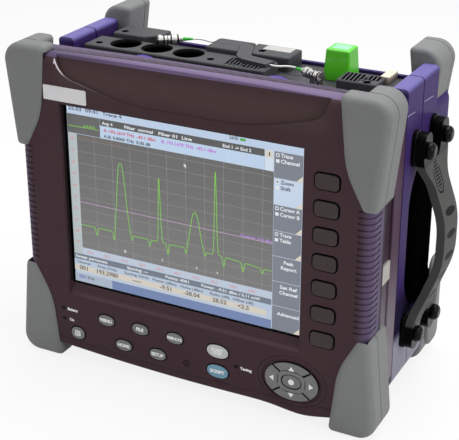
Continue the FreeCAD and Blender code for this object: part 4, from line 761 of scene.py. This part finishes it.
class Picture:
    """Flat coloured patches in layers, in millimetres from the screen's middle, made into one mesh."""

    def __init__(self):
        self.parts = []
        self.inks = []
        self.depths = []

    def add(self, flat, faces, ink):
        """One patch in front of those before it."""
        self.parts.append((flat, faces))
        self.inks.append(np.tile((*ink, 1.0), (len(flat), 1)))
        self.depths.append(np.full(len(flat), len(self.parts)))

    def field(self, left, right, low, high, ink):
        """A filled rectangle."""
        flat = np.array([(left, low), (right, low), (right, high), (left, high)], float)
        self.add(flat, [[0, 1, 2, 3]], ink)

    def line(self, flat, width, ink):
        """A curve drawn as a ribbon: each point is moved half the width to either side of its slope."""
        slope = np.gradient(flat, axis=0)
        aside = np.stack([-slope[:, 1], slope[:, 0]], axis=-1)
        aside *= width / 2 / np.linalg.norm(aside, axis=1, keepdims=True)
        both = np.stack([flat - aside, flat + aside], axis=1)
        faces = np.array(grid_faces(len(flat), 2))[:, ::-1].tolist()
        self.add(both.reshape(-1, 2), faces, ink)

    def words(self, text, left, right, middle, height, ink):
        """A line of bold text drawn out to reach from left to right."""
        flat, faces = lettering(text, height, "LEFT", bold=0.03)
        start, end = flat[:, 0].min(), flat[:, 0].max()
        flat[:, 0] = left + (flat[:, 0] - start) * (right - left) / (end - start)
        self.add(flat + (0, middle), faces, ink)

    def row(self, items, middle, height, ink):
        """Several lines of text side by side, each (text, left, right)."""
        for text, left, right in items:
            self.words(text, left, right, middle, height, ink)


def spectrum(across):
    """The trace's height over its base: a droop, bell-shaped peaks and evenly spaced dips, added up."""
    peaks = (
        (-55.8, 62.5, 5.2, 2.6), (-20.0, 56.5, 1.3, 2.0), (12.7, 33.0, 5.4, 2.4), (31.3, 71.5, 1.25, 2.0),
    )
    height = -3.3 * np.clip((across - 35) / 46, 0, 1)
    for middle, top, spread, shape in peaks:
        height = height + top * np.exp(-np.abs((across - middle) / spread) ** shape)
    for number in range(10):
        middle = -81.2 + 17.1 * number
        height = height - (7.0 + 2.5 * np.sin(1.9 * number)) * np.exp(-((across - middle) / 1.15) ** 2)
    return height


def screen_picture():
    """The instrument's display: title, readings, plot with grid and trace, table and menu column."""
    picture = Picture()
    picture.field(-SCREEN_SIDE, SCREEN_SIDE, -SCREEN_TOP, SCREEN_TOP, srgb(196, 209, 226))
    picture.field(-SCREEN_SIDE, SCREEN_SIDE, 73.3, SCREEN_TOP, srgb(198, 217, 241))
    draw_readings(picture)
    draw_plot(picture)
    draw_table(picture)
    draw_menu(picture)
    return picture


def draw_readings(picture):
    """The rows above the plot: clock, battery, settings and the two cursors' readings."""
    white, pale = srgb(236, 240, 244), srgb(198, 220, 245)
    picture.words("25.03  09:41  Trace 4", -104, -53, 77.6, 2.8, srgb(96, 104, 118))
    picture.words("26%", 43, 51, 77.4, 2.6, srgb(110, 122, 130))
    picture.field(52.4, 57.2, 76.2, 78.4, srgb(70, 178, 60))
    picture.field(-SCREEN_SIDE, -97.0, -52.6, 56.4, srgb(190, 200, 202))
    picture.field(-105.4, -74.2, 56.6, 73.0, srgb(100, 100, 100))
    picture.field(-74.0, 73.2, 67.2, 73.0, srgb(88, 88, 88))
    settings = (
        ("Avg: 4", -72, -62), ("Filter  normal", -51, -24.5), ("Fiber 01  Line", -19.5, 10.5),
        ("End 1 -> End 2", 37.5, 62),
    )
    picture.row(settings, 69.6, 2.5, white)
    picture.field(-74.0, 73.2, 56.4, 67.2, pale)
    picture.words("A: 193.1619 THz  -43.1 dBm", -71, -22.3, 63.4, 2.5, srgb(212, 74, 96))
    picture.words("B: 193.1679 THz  -43.1 dBm", -17, 31.7, 63.4, 2.5, srgb(196, 112, 226))
    picture.words("A-B: 0.0060 THz  0.00 dB", -71, -27.3, 58.5, 2.5, srgb(70, 74, 84))
    picture.field(73.8, 80.6, 56.2, 73.0, srgb(221, 235, 247))
    picture.field(74.2, 80.2, 67.0, 72.6, srgb(226, 218, 204))
    picture.words("1", 76.8, 77.8, 69.6, 2.8, srgb(60, 60, 70))
    across = np.linspace(-104.5, -75.5, 90)
    bumps = np.maximum(0, np.sin(2.1 * across)) * (across > -89) * (across < -78)
    picture.line(np.stack([across, 62.6 + 2.8 * bumps], axis=-1), 0.5, colours().trace)


def draw_plot(picture):
    """The plot: its dotted grid, red scales, threshold, trace with four marked peaks and the pointer."""
    grid, red, violet = srgb(166, 166, 166), srgb(222, 150, 156), srgb(186, 146, 226)
    left, right, low, high, step = -97.0, 81.2, -46.4, 56.2, 17.0
    bands = np.linspace(low, high, 13)
    for number in range(12):
        grey = 124 - 1.7 * number
        picture.field(left, right, bands[number], bands[number + 1], srgb(grey, grey - 1, grey - 2))
    dash, hair = 1.2, 0.24
    columns, rows = np.arange(-80.7, right, step), np.arange(-41.7, high, 10.42)
    for middle in columns:
        for start in np.arange(low, high - dash, 2 * dash):
            picture.field(middle - hair, middle + hair, start, start + dash, grid)
    for middle in rows:
        for start in np.arange(left, right - dash, 2 * dash):
            picture.field(start, start + dash, middle - hair, middle + hair, grid)
    for number, middle in enumerate(rows):
        picture.words(f"-{70 - 5 * number}", -103.4, -99.4, middle, 1.9, red)
    for number, middle in enumerate(columns - step / 2):
        picture.words(f"193.{number}", middle - 3.2, middle + 3.2, -49.7, 1.9, red)
    picture.words("Channel view, 4 peaks found", -96, -54.5, 54.2, 1.6, srgb(136, 112, 96))
    picture.line(np.array([(left, -3.8), (-8.0, -3.8), (right, -3.8)]), 0.5, srgb(206, 176, 210))
    picture.words("Threshold -35.0 dBm", 52.8, 80.8, -2.4, 2.0, violet)
    across = np.linspace(left + 0.4, right - 0.4, 1400)
    picture.line(np.stack([across, -24.6 + spectrum(across)], axis=-1), sizes().trace / MM, colours().trace)
    for text, middle in zip("1234", (-54, -18.4, 13.8, 32.6)):
        picture.words(text, middle - 0.9, middle + 0.9, -40.6, 2.2, srgb(216, 216, 216))
    pointer = [(3.4, 49.2), (3.4, 45.6), (4.3, 46.4), (5.0, 45.0), (5.6, 45.3), (4.9, 46.7), (6.0, 46.8)]
    picture.add(np.array(pointer), [list(range(len(pointer)))], srgb(232, 232, 232))


def draw_table(picture):
    """The rows below the plot: settings, the channel table and the tab bar."""
    white, ink = srgb(232, 237, 242), srgb(112, 112, 114)
    picture.field(-105.4, 81.0, -57.8, -52.6, srgb(116, 126, 140))
    settings = (
        ("Sweep: permanent", -104, -72), ("Spacing: ---", -52.8, -32.3), ("Points: 4001", -15.7, 6.3),
        ("Power:  -9.51 dBm / 0.11 mW", 18, 71.3),
    )
    picture.row(settings, -55.2, 2.5, white)
    picture.field(-105.4, 81.0, -63.3, -57.8, srgb(190, 206, 226))
    picture.field(-105.4, 76.4, -68.4, -63.3, srgb(222, 214, 200))
    for title, left, right, reading, start, end in (
        ("Channel", -102.8, -89.5, "001", -100.7, -92.3),
        ("Freq (THz)", -82, -63.3, "193.2980", -83.3, -62),
        ("Spacing (GHz)", -55.7, -32, "----", -47.8, -39.5),
        ("Power (dBm)", -28.2, -5.3, "-9.51", -21.2, -10.3),
        ("Noise (dBm)", -1.5, 19.3, "-38.04", 1.3, 16.3),
        ("Ratio (dB)", 25.8, 43.8, "28.52", 28, 41),
        ("Offset (dB)", 46.7, 65.5, "<2.5", 51, 61.3),
    ):
        picture.words(title, left, right, -60.6, 2.2, ink)
        picture.words(reading, start, end, -65.8, 3.6, ink)
    picture.field(-68.2, 81.0, -SCREEN_TOP, -71.2, srgb(117, 137, 182))
    picture.field(-105.4, -68.2, -SCREEN_TOP, -71.2, srgb(176, 190, 208))
    picture.field(-101.6, -94.6, -75.8, -72.6, srgb(140, 156, 196))
    picture.words("016", -93.2, -86.2, -74.2, 2.5, srgb(90, 92, 98))


def draw_menu(picture):
    """The column of seven soft key captions: tick boxes in the upper four, folded corners in most."""
    slate, ink, white = srgb(126, 132, 144), srgb(84, 90, 104), srgb(240, 243, 247)
    captions = (
        (("Trace", 87.2, 97.2), ("Channel", 87.2, 102.7)),
        (("Zoom", 87.2, 98.2), ("Shift", 87.2, 95.8)),
        (("Cursor A", 87.2, 103.8), ("Cursor B", 87.2, 103.8)),
        (("Trace", 87.2, 97.2), ("Table", 87.2, 96.8)),
        (("Peak", 91.2, 99.8), ("Report", 88.8, 102.3)),
        (("Set Ref", 88.3, 103.2), ("Channel", 87.8, 103.6)),
        (("Advanced", 86, 105.1),),
    )
    edges = np.linspace(73.3, -79.4, 8)
    for number, lines in enumerate(captions):
        high, low = edges[number], edges[number + 1]
        chosen = number == 1
        boxed = number < 4
        picture.field(81.8, SCREEN_SIDE, low + 0.5, high, srgb(208, 223, 244) if chosen else slate)
        first = high - (2.7 if boxed else 4.2)
        if len(lines) == 1:
            first = high - 6.4
        for step, (text, left, right) in enumerate(lines):
            middle = first - 4.8 * step
            picture.words(text, left, right, middle, 2.9, ink if chosen else white)
            if boxed:
                picture.field(83.2, 86.0, middle - 1.4, middle + 1.4, white)
            if boxed and step == 0:
                picture.field(83.9, 85.3, middle - 0.7, middle + 0.7, ink)
        if boxed or number == 6:
            corner = [(SCREEN_SIDE, low + 0.5), (SCREEN_SIDE, low + 5.6), (100.4, low + 0.5)]
            picture.add(np.array(corner), [[0, 1, 2]], srgb(232, 220, 202))


class ANALYZER_OT_finishes(bpy.types.Operator):
    """Give every solid the finish of its material slot"""

    bl_idname = "analyzer.finishes"
    bl_label = "Finishes"

    def execute(self, context):
        made = finishes()
        single = node_finishes(made)
        for node, slot in SLOTS.items():
            mesh = frame["nodes"][node].data
            mesh.materials.clear()
            mesh.materials.append(single.get(node, made[slot]))
        return {"FINISHED"}


class ANALYZER_OT_housing(bpy.types.Operator):
    """Set a housing with two low domes in the place of the plain one"""

    bl_idname = "analyzer.housing"
    bl_label = "Housing"

    def execute(self, context):
        """What rises above the domes' foot keeps only a share of its rise."""
        foot, share = 0.269, 0.5
        mesh = frame["nodes"]["base_housing"].data.copy()
        points = np.empty(3 * len(mesh.vertices))
        mesh.vertices.foreach_get("co", points)
        points[2::3] -= (1 - share) * np.maximum(points[2::3] - foot, 0)
        mesh.vertices.foreach_set("co", points)
        made = bpy.data.objects.new("housing_shell", mesh)
        context.scene.collection.objects.link(made)
        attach(made, "case")
        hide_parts("base_housing")
        return {"FINISHED"}


class ANALYZER_OT_screen(bpy.types.Operator):
    """Draw the lit picture on the display, just behind its pane"""

    bl_idname = "analyzer.screen"
    bl_label = "Screen picture"

    def execute(self, context):
        picture = screen_picture()
        middle = middle_of("display_window")
        points, faces = joined(picture.parts)
        layer = np.concatenate(picture.depths)
        depth = front_of("display_panel") - PICTURE_LIFT - LAYER_STEP * layer
        place = case_point(middle[0] + points[:, 0], depth, middle[2] + points[:, 1])
        made = piece("screen_picture", place, faces, lit_image("lit_picture"), "case", "display",
                     closed=False, smooth=False)
        ink = made.data.attributes.new("ink", "FLOAT_COLOR", "POINT")
        ink.data.foreach_set("color", np.concatenate(picture.inks).astype(np.float32).ravel())
        return {"FINISHED"}


KEY_WORDS = {
    "power_key": "ON\nOFF",
    "function_key_1": "MENU",
    "function_key_2": "FILE",
    "function_key_3": "RESULTS",
    "function_key_4": "HOME",
    "function_key_5": "SETUP",
    "start_key": "START\nSTOP",
    "script_key": "SCRIPT",
}


def full_oval(width, height, fullness, steps=64):
    """An outline between an ellipse, at fullness 2, and a rectangle: powers of a turn's cosine and sine."""
    turn = np.linspace(0, 2 * np.pi, steps, endpoint=False)
    wave = np.stack([np.cos(turn), np.sin(turn)], axis=-1)
    return np.sign(wave) * np.abs(wave) ** (2 / fullness) * (width / 2, height / 2)


def oval_rings(middle, rows):
    """Upright rings about a middle in the case frame, one for each (width, height, fullness, depth)."""
    rings = []
    for width, height, fullness, depth in rows:
        flat = full_oval(width, height, fullness)
        rings.append(on_front(flat, middle[0], depth, middle[2]))
    return np.stack(rings)


class ANALYZER_OT_oval_keys(bpy.types.Operator):
    """Make the oval keys, the rims of their holes and the collar round the pad's middle key"""

    bl_idname = "analyzer.oval_keys"
    bl_label = "Oval keys"

    def execute(self, context):
        for key in KEY_WORDS:
            self.cap(key)
            self.rim(key)
        self.cap("nav_enter")
        self.collar("nav_enter")
        return {"FINISHED"}

    def stem(self, key):
        """The width and height of a key's stem, which stands inside its flange."""
        low, high = case_box(key)
        return high[0] - low[0] - 2 * KEY_FLANGE, high[2] - low[2] - 2 * KEY_FLANGE

    def cap(self, key):
        """The key itself: a flange, then an oval stem whose front edge is drawn in by a quarter circle."""
        low, high = case_box(key)
        wide, tall = high[0] - low[0], high[2] - low[2]
        width, height = self.stem(key)
        step = high[1] - KEY_FLANGE
        rows = [(wide, tall, 3, high[1]), (wide, tall, 3, step), (width, height, KEY_OVAL, step)]
        turn = np.linspace(0, np.pi / 2, 6)
        for drawn, back in zip(KEY_EDGE * (1 - np.cos(turn)), KEY_EDGE * (1 - np.sin(turn))):
            rows.append((width - 2 * drawn, height - 2 * drawn, KEY_OVAL, low[1] + back))
        rings = oval_rings(middle_of(key), rows)
        made = skin(f"{key}_oval", rings, frame["nodes"][key].data.materials[0], key, SLOTS[key])
        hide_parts(key)

    def rim(self, key):
        """An oval hole's edge, let into the key's rounder hole in the bezel."""
        width, height = self.stem(key)
        front = front_of("front_bezel")
        proud, deep = front - RIM_PROUD, front + RIM_DEEP
        hole, plug, lip = (
            (width + grow * KEY_GAP, height + grow * KEY_GAP, fullness)
            for grow, fullness in ((1.7, KEY_OVAL), (1.9, 2.8), (3.6, 3))
        )
        rows = [(*hole, deep), (*hole, proud), (*lip, proud), (*lip, front)]
        rows += [(*plug, front), (*plug, deep), (*hole, deep)]
        self.closed_ring(f"{key}_rim", key, rows, "front_bezel")

    def collar(self, key):
        """A ring between the middle key and the arrow keys, as far forward as they are."""
        front, proud = front_of("front_bezel"), front_of(key)
        inner, outer = (18.2, 13.2, KEY_OVAL), (23.8, 18.8, 3)
        rows = [(*inner, front), (*inner, proud), (*outer, proud), (*outer, front), (*inner, front)]
        self.closed_ring("pad_collar", key, rows, key)

    def closed_ring(self, name, key, rows, like):
        """A ring round a key through oval outlines, which looks like the given node."""
        rings = oval_rings(middle_of(key), rows)
        faces = grid_faces(*rings.shape[:2], wrap=True)
        finish = frame["nodes"][like].data.materials[0]
        piece(name, rings, faces, finish, "case", SLOTS[like], smooth=False)


class ANALYZER_OT_legends(bpy.types.Operator):
    """Print the legends on the keys and beside the lamps"""

    bl_idname = "analyzer.legends"
    bl_label = "Key legends"

    def execute(self, context):
        ink = printed("legend_ink", colours().legend)
        for key, words in KEY_WORDS.items():
            low, high = case_box(key)
            small = len(words) > 6 or "\n" in words
            height = sizes().legend / MM * (SMALL_LEGEND if small else 1)
            flat, faces = lettering(words, height, bold=0.055)
            widest = LEGEND_SHARE * (high[0] - low[0] - LEGEND_MARGIN)
            flat[:, 0] *= min(1, widest / np.ptp(flat[:, 0]))
            middle = middle_of(key)
            place = (middle[0], front_of(key) - FLAT_LIFT, middle[2])
            flat_print(f"legend_{key}", flat, faces, place, ink, key, SLOTS[key])
        self.arrows(ink)
        self.lamp_words(ink)
        return {"FINISHED"}

    def arrows(self, ink):
        """A triangle on each arrow key, pointing away from the middle key, and a dot on that."""
        middle = middle_of("nav_enter")
        triangle = np.array([(2.6, 0), (-1.4, 2.6), (-1.4, -2.6)])
        far, near = 17.0, 11.6
        reach = {"nav_right": (far, 0), "nav_up": (0, near), "nav_left": (-far, 0), "nav_down": (0, -near)}
        for key, (right, up) in reach.items():
            forward = np.array((right, up)) / np.hypot(right, up)
            aside = np.array((-forward[1], forward[0]))
            flat = triangle[:, :1] * forward + triangle[:, 1:] * aside + (right, up)
            place = (middle[0], front_of(key) - FLAT_LIFT, middle[2])
            flat_print(f"legend_{key}", flat, [[0, 1, 2]], place, ink, key, "key_grey")
        radius, steps = 2.6, 28
        flat = full_oval(2 * radius, 2 * radius, 2, steps)
        place = (middle[0], front_of("nav_enter") - FLAT_LIFT, middle[2])
        flat_print("legend_nav_enter", flat, [list(range(steps))], place, ink, "nav_enter", "key_grey")

    def lamp_words(self, ink):
        """A word to the right of each lamp, on the bezel's front."""
        words = (("Battery", -119.5, 49.0), ("On", -118.0, 39.0), ("Testing", 48.8, 35.5))
        depth = front_of("front_bezel") - FLAT_LIFT
        for number, (text, left, height) in enumerate(words):
            flat, faces = lettering(text, sizes().lamp_legend / MM, "LEFT", bold=0.05)
            flat_print(f"lamp_word_{number + 1}", flat, faces, (left, depth, height), ink, "case", "bezel")


def raised_plate(width, height, corner, thickness, edge):
    """A plate with rounded corners and a softened front edge: an outline drawn in by a quarter circle."""
    turn = np.linspace(0, np.pi / 2, 4)
    inset = np.concatenate([[0], edge * (1 - np.cos(turn))])
    rise = np.concatenate([[0], thickness - edge + edge * np.sin(turn)])
    rings = []
    for drawn, up in zip(inset, rise):
        outline = rounded_outline(width - 2 * drawn, height - 2 * drawn, corner - min(drawn, 0.9 * corner))
        rings.append(np.column_stack([outline, np.full(len(outline), up)]))
    return np.stack(rings)


class ANALYZER_OT_chin(bpy.types.Operator):
    """Draw the bezel's chin down, with a bulge below the pad"""

    bl_idname = "analyzer.chin"
    bl_label = "Chin"

    def execute(self, context):
        """Upright sections side by side, each a bar that starts on the bezel's rounded edge.

        The bar's front comes forward along a parabola and turns under along a quarter circle. Its foot
        keeps below the bezel's bowed one, and further below it along a bell curve under the pad.
        """
        front, foot = case_box("front_bezel")[0][1:]
        across = np.linspace(CHIN_LEFT, CHIN_RIGHT, 120)[:, None]
        bell = np.exp(-(((across - PAD_BULGE_AT) / PAD_BULGE_SPREAD) ** 2))
        bow = foot + BEZEL_BOW * across ** 2
        low = bow - CHIN_DROP - PAD_BULGE * bell
        reach = CHIN_REACH - bell
        top = bow + reach
        inset = BEZEL_ROUND - np.sqrt(BEZEL_ROUND ** 2 - (BEZEL_ROUND - reach) ** 2) - FLAT_LIFT
        share = np.linspace(0, 1, 6)
        turn = np.linspace(0, np.pi / 2, 7)[1:]
        back = np.full_like(across, BEZEL_ROUND + CHIN_BACK)
        depth = [inset * (1 - share) ** 2, CHIN_ROUND * (1 - np.cos(turn)) + 0 * across, back, back]
        height = [top + (low + CHIN_ROUND - top) * share, low + CHIN_ROUND * (1 - np.sin(turn))]
        height += [low, bow + CHIN_BACK_RISE]
        rings = case_point(across, front + np.concatenate(depth, axis=1), np.concatenate(height, axis=1))
        skin("bezel_chin", rings, bpy.data.materials["bezel_plastic"], "case", SLOTS["front_bezel"])
        return {"FINISHED"}


class ANALYZER_OT_badge(bpy.types.Operator):
    """Set the bare badge plate on the bezel, above the screen's left corner"""

    bl_idname = "analyzer.badge"
    bl_label = "Badge plate"

    def execute(self, context):
        width, height = sizes().badge_width / MM, sizes().badge_height / MM
        corner, thickness, edge = 1.2, 0.9, 0.4
        rings = raised_plate(width, height, corner, thickness, edge)
        across, depth, above = -110.0, front_of("front_bezel") + 0.1, 245.8
        rings = case_point(across + rings[..., 0], depth - rings[..., 2], above + rings[..., 1])
        finish = moulded("badge_plate", srgb(214, 212, 214), 0.32, (0.0006, 0.00001))
        skin("badge_plate", rings, finish, "case", "tab")
        return {"FINISHED"}


def turned_ring(profile, steps=36):
    """A profile of (radius, height) pairs turned round the vertical axis: rings of (rows, steps, 3)."""
    radius, height = np.array(profile).T
    turn = np.linspace(0, 2 * np.pi, steps, endpoint=False)
    across = radius[:, None] * np.cos(turn)
    back = radius[:, None] * np.sin(turn)
    return np.stack([across, back, np.broadcast_to(height[:, None], across.shape)], axis=-1)


class ANALYZER_OT_bumper_sides(bpy.types.Operator):
    """Lay the raised sides of the lower rear bumpers on the rear cover"""

    bl_idname = "analyzer.bumper_sides"
    bl_label = "Bumper sides"

    def execute(self, context):
        """A plate with softened edges on either side, mirrored."""
        front, back, low, high, thickness, sunk = 147.0, 174.5, 10.0, 96.0, 3.6, 0.3
        corner, edge = 9.0, 2.2
        plate = raised_plate(back - front, high - low, corner, thickness, edge)
        along, up, out = np.moveaxis(plate, -1, 0)
        side = case_box("rear_cover")[1][0] - sunk
        # the paler copy of the rubber, which stands in for more light on the lower bumpers
        finish = bpy.data.materials["lit_bumper_rubber"]
        for name, sign in (("right", 1), ("left", -1)):
            rings = case_point(sign * (side + out), (front + back) / 2 + along, (low + high) / 2 + up)
            skin(f"rear_bumper_side_{name}", rings, finish, "case", SLOTS["rear_bumper_bottom_right"])
        return {"FINISHED"}


class ANALYZER_OT_deck(bpy.types.Operator):
    """Put the screws, socket sleeves, labels, vent faces and the spacer on the deck"""

    bl_idname = "analyzer.deck"
    bl_label = "Deck details"

    def execute(self, context):
        self.screws()
        self.socket_liners()
        self.labels()
        self.vents()
        self.spacer()
        return {"FINISHED"}

    def screws(self):
        """Sunk screws: a dark countersink and a head with a hollow, turned from one profile."""
        finish = moulded("screw_black", srgb(5, 5, 5), 0.7, (0.0006, 0.00002), specular(0.0))
        places = (
            ("socket_plate", -126.2, 81.4), ("socket_plate", -19.6, 82.3), ("corner_cover", -119.2, 111.8),
            ("label_block", 11.9, 113.8), ("vent_block", 119.4, 76.0),
        )
        radius = sizes().screw / MM
        shares = ((1, -0.1), (1, 0.1), (0.86, 0.16), (0.8, 0.08), (0.4, 0.06))
        rings = turned_ring([(share * radius, rise) for share, rise in shares])
        for number, (carrier, across, depth) in enumerate(places):
            place = (across, depth, top_of(carrier))
            lay(f"deck_screw_{number + 1}", rings, place, finish, slot="stud")

    def socket_liners(self):
        """A fluted black sleeve in each socket: its inner radius waves round the axis."""
        finish = socket_rubber("socket_rubber")
        first, pitch, depth, top = -104.5, 30.4, 89.2, top_of("socket_plate")
        turn = np.linspace(0, 2 * np.pi, 144, endpoint=False)
        radius, flute, rise = np.array([
            (13.3, 0, -20.0), (13.3, 0, -1.2), (13.2, 0, -0.3), (12.6, 0.25, -0.3), (12.4, 0.25, -20.0),
        ]).T[..., None]
        radius = radius + flute * np.cos(36 * turn)
        for number in range(3):
            across = first + pitch * number
            rings = case_point(across + radius * np.cos(turn), depth + radius * np.sin(turn), top + rise)
            faces = grid_faces(*rings.shape[:2], wrap=True)
            piece(f"socket_liner_{number + 1}", rings, faces, finish, "case", "liner", closed=False)

    def vents(self):
        """Thin slatted faces let into the vent block and the socket plate."""
        finish = slatted("vent_slats", colours().module)
        places = (
            ("vent_block", 97.5, 112.5, 74.0, 93.0), ("vent_block", 115.0, 126.0, 82.0, 93.0),
            ("socket_plate", -5.0, 10.0, 79.0, 94.0), ("socket_plate", 12.5, 27.0, 75.5, 84.0),
        )
        for number, (carrier, left, right, front, back) in enumerate(places):
            rings = raised_plate(right - left, back - front, 0.5, *SHEET)
            place = ((left + right) / 2, (front + back) / 2, top_of(carrier))
            lay(f"vent_face_{number + 1}", rings, place, finish)

    def labels(self):
        """Thin bare labels on the label block and on the cap."""
        block = (22.4, 125.2, top_of("label_block"))
        cap = (*middle_of("green_cap")[:2], top_of("green_cap"))
        labels = (
            ("paper_label", 25.0, 13.0, block, "case", srgb(184, 181, 180)),
            ("cap_label", 14.0, 12.0, cap, "green_cap", srgb(150, 216, 176)),
        )
        for name, width, length, place, body, colour in labels:
            rings = raised_plate(width, length, 0.6, *SHEET)
            lay(name, rings, place, printed(f"{name}_paper", colour), body, "fibre")

    def spacer(self):
        """The cream plastic block on the module's floor, beside the right wall."""
        place = (120.0, 123.0, top_of("rear_module"))
        finish = moulded("cream_plastic", srgb(226, 212, 190), 0.5, (0.0006, 0.00002))
        lay("cream_spacer", raised_plate(8.0, 20.0, 0.8, 6.0, 0.6), place, finish, slot="tab")


class ANALYZER_OT_stage(bpy.types.Operator):
    """Set up the floor, the lights, the world and the camera"""

    bl_idname = "analyzer.stage"
    bl_label = "Stage"

    def execute(self, context):
        context.scene.view_settings.view_transform = "Standard"
        self.floor()
        self.world(context)
        self.lights(context)
        self.camera(context)
        return {"FINISHED"}

    def floor(self):
        """A wide level sheet under the object, which looks mostly white in itself."""
        finish = Finish("pale_floor", {"Roughness": 0.9, **specular(0.1)})
        finish.put("Base Color", finish.blend(finish.noise(0.2), (0.9, 0.9, 0.9), (0.92, 0.92, 0.92)))
        white = finish.node("ShaderNodeEmission", sockets={"Color": (1, 1, 1), "Strength": 1.0})
        share = FLOOR_WHITE * finish.background_rays()
        finish.show(finish.node("ShaderNodeMixShader", sockets={0: share, 1: finish.lit, 2: white}))
        mesh = bpy.data.meshes.new("floor")
        corners = FLOOR_HALF * np.array([(-1, -1, 0), (1, -1, 0), (1, 1, 0), (-1, 1, 0)])
        mesh.from_pydata(corners.tolist(), [], [(0, 1, 2, 3)])
        mesh.materials.append(finish.material)
        floor = bpy.data.objects.new("floor", mesh)
        bpy.context.scene.collection.objects.link(floor)

    def world(self, context):
        """White to the camera, in gloss and through glass; a dimmer white as light."""
        world = bpy.data.worlds.new("studio")
        world.use_nodes = True
        nodes = Nodes(world.node_tree)
        light, backdrop = (
            nodes.node("ShaderNodeBackground", sockets={"Color": (1, 1, 1), "Strength": strength})
            for strength in (WORLD_LIGHT, 1.0)
        )
        sockets = {0: nodes.background_rays(), 1: light, 2: backdrop}
        mix = nodes.node("ShaderNodeMixShader", sockets=sockets)
        nodes.node("ShaderNodeOutputWorld", sockets={"Surface": mix})
        context.scene.world = world

    def lights(self, context):
        """Soft boxes: one above and behind, one at the right and one in front at the left."""
        boxes = (
            ("overhead", (0.1, 0.35, 1.5), 1.2, 22.0),
            ("right_side", (1.5, -0.2, 0.9), 1.0, 9.0),
            ("front_left", (-0.9, -1.5, 0.9), 1.0, 5.0),
        )
        for name, place, size, power in boxes:
            lamp = bpy.data.lights.new(name, "AREA")
            lamp.size = size
            lamp.energy = power
            holder = bpy.data.objects.new(name, lamp)
            holder.location = place
            aim = Vector((0, 0, 0.15)) - Vector(place)
            holder.rotation_euler = aim.to_track_quat("-Z", "Y").to_euler()
            context.scene.collection.objects.link(holder)

    def camera(self, context):
        """The photograph's view: turned round the object and above it, aimed a little past its middle."""
        lens = bpy.data.cameras.new("camera")
        lens.lens = 98.41
        lens.sensor_width = 36.0
        lens.sensor_fit = "HORIZONTAL"
        turn, rise = np.radians((27.3645, 24.4045))
        right = Vector((np.cos(turn), np.sin(turn), 0))
        back = Vector((np.sin(turn) * np.cos(rise), -np.cos(turn) * np.cos(rise), np.sin(rise)))
        up = back.cross(right)
        place = Vector((0.43915, -0.8743, 0.5699))
        holder = bpy.data.objects.new("camera", lens)
        holder.matrix_world = Matrix.Translation(place) @ Matrix((right, up, back)).transposed().to_4x4()
        context.scene.collection.objects.link(holder)
        context.scene.camera = holder


class ANALYZER_PT_panel(bpy.types.Panel):
    """The analyzer's steps in the sidebar"""

    bl_idname = "ANALYZER_PT_panel"
    bl_label = "Optical spectrum analyzer"
    bl_space_type = "VIEW_3D"
    bl_region_type = "UI"
    bl_category = "Analyzer"

    def draw(self, context):
        for step in STEPS:
            self.layout.operator(step.bl_idname)


STEPS = (
    ANALYZER_OT_finishes,
    ANALYZER_OT_housing,
    ANALYZER_OT_screen,
    ANALYZER_OT_oval_keys,
    ANALYZER_OT_legends,
    ANALYZER_OT_chin,
    ANALYZER_OT_badge,
    ANALYZER_OT_bumper_sides,
    ANALYZER_OT_deck,
    ANALYZER_OT_stage,
)
CLASSES = (AnalyzerColours, AnalyzerSizes, *STEPS, ANALYZER_PT_panel)


def register():
    """Adds the classes and the scene's two groups of properties."""
    for cls in CLASSES:
        bpy.utils.register_class(cls)
    bpy.types.Scene.analyzer_colours = PointerProperty(type=AnalyzerColours)
    bpy.types.Scene.analyzer_sizes = PointerProperty(type=AnalyzerSizes)


def unregister():
    """Takes them away again."""
    del bpy.types.Scene.analyzer_sizes
    del bpy.types.Scene.analyzer_colours
    for cls in reversed(CLASSES):
        bpy.utils.unregister_class(cls)


def main():
    register()
    for step in STEPS:
        group, name = step.bl_idname.split(".")
        getattr(getattr(bpy.ops, group), name)()


if __name__ == "__main__":
    main()
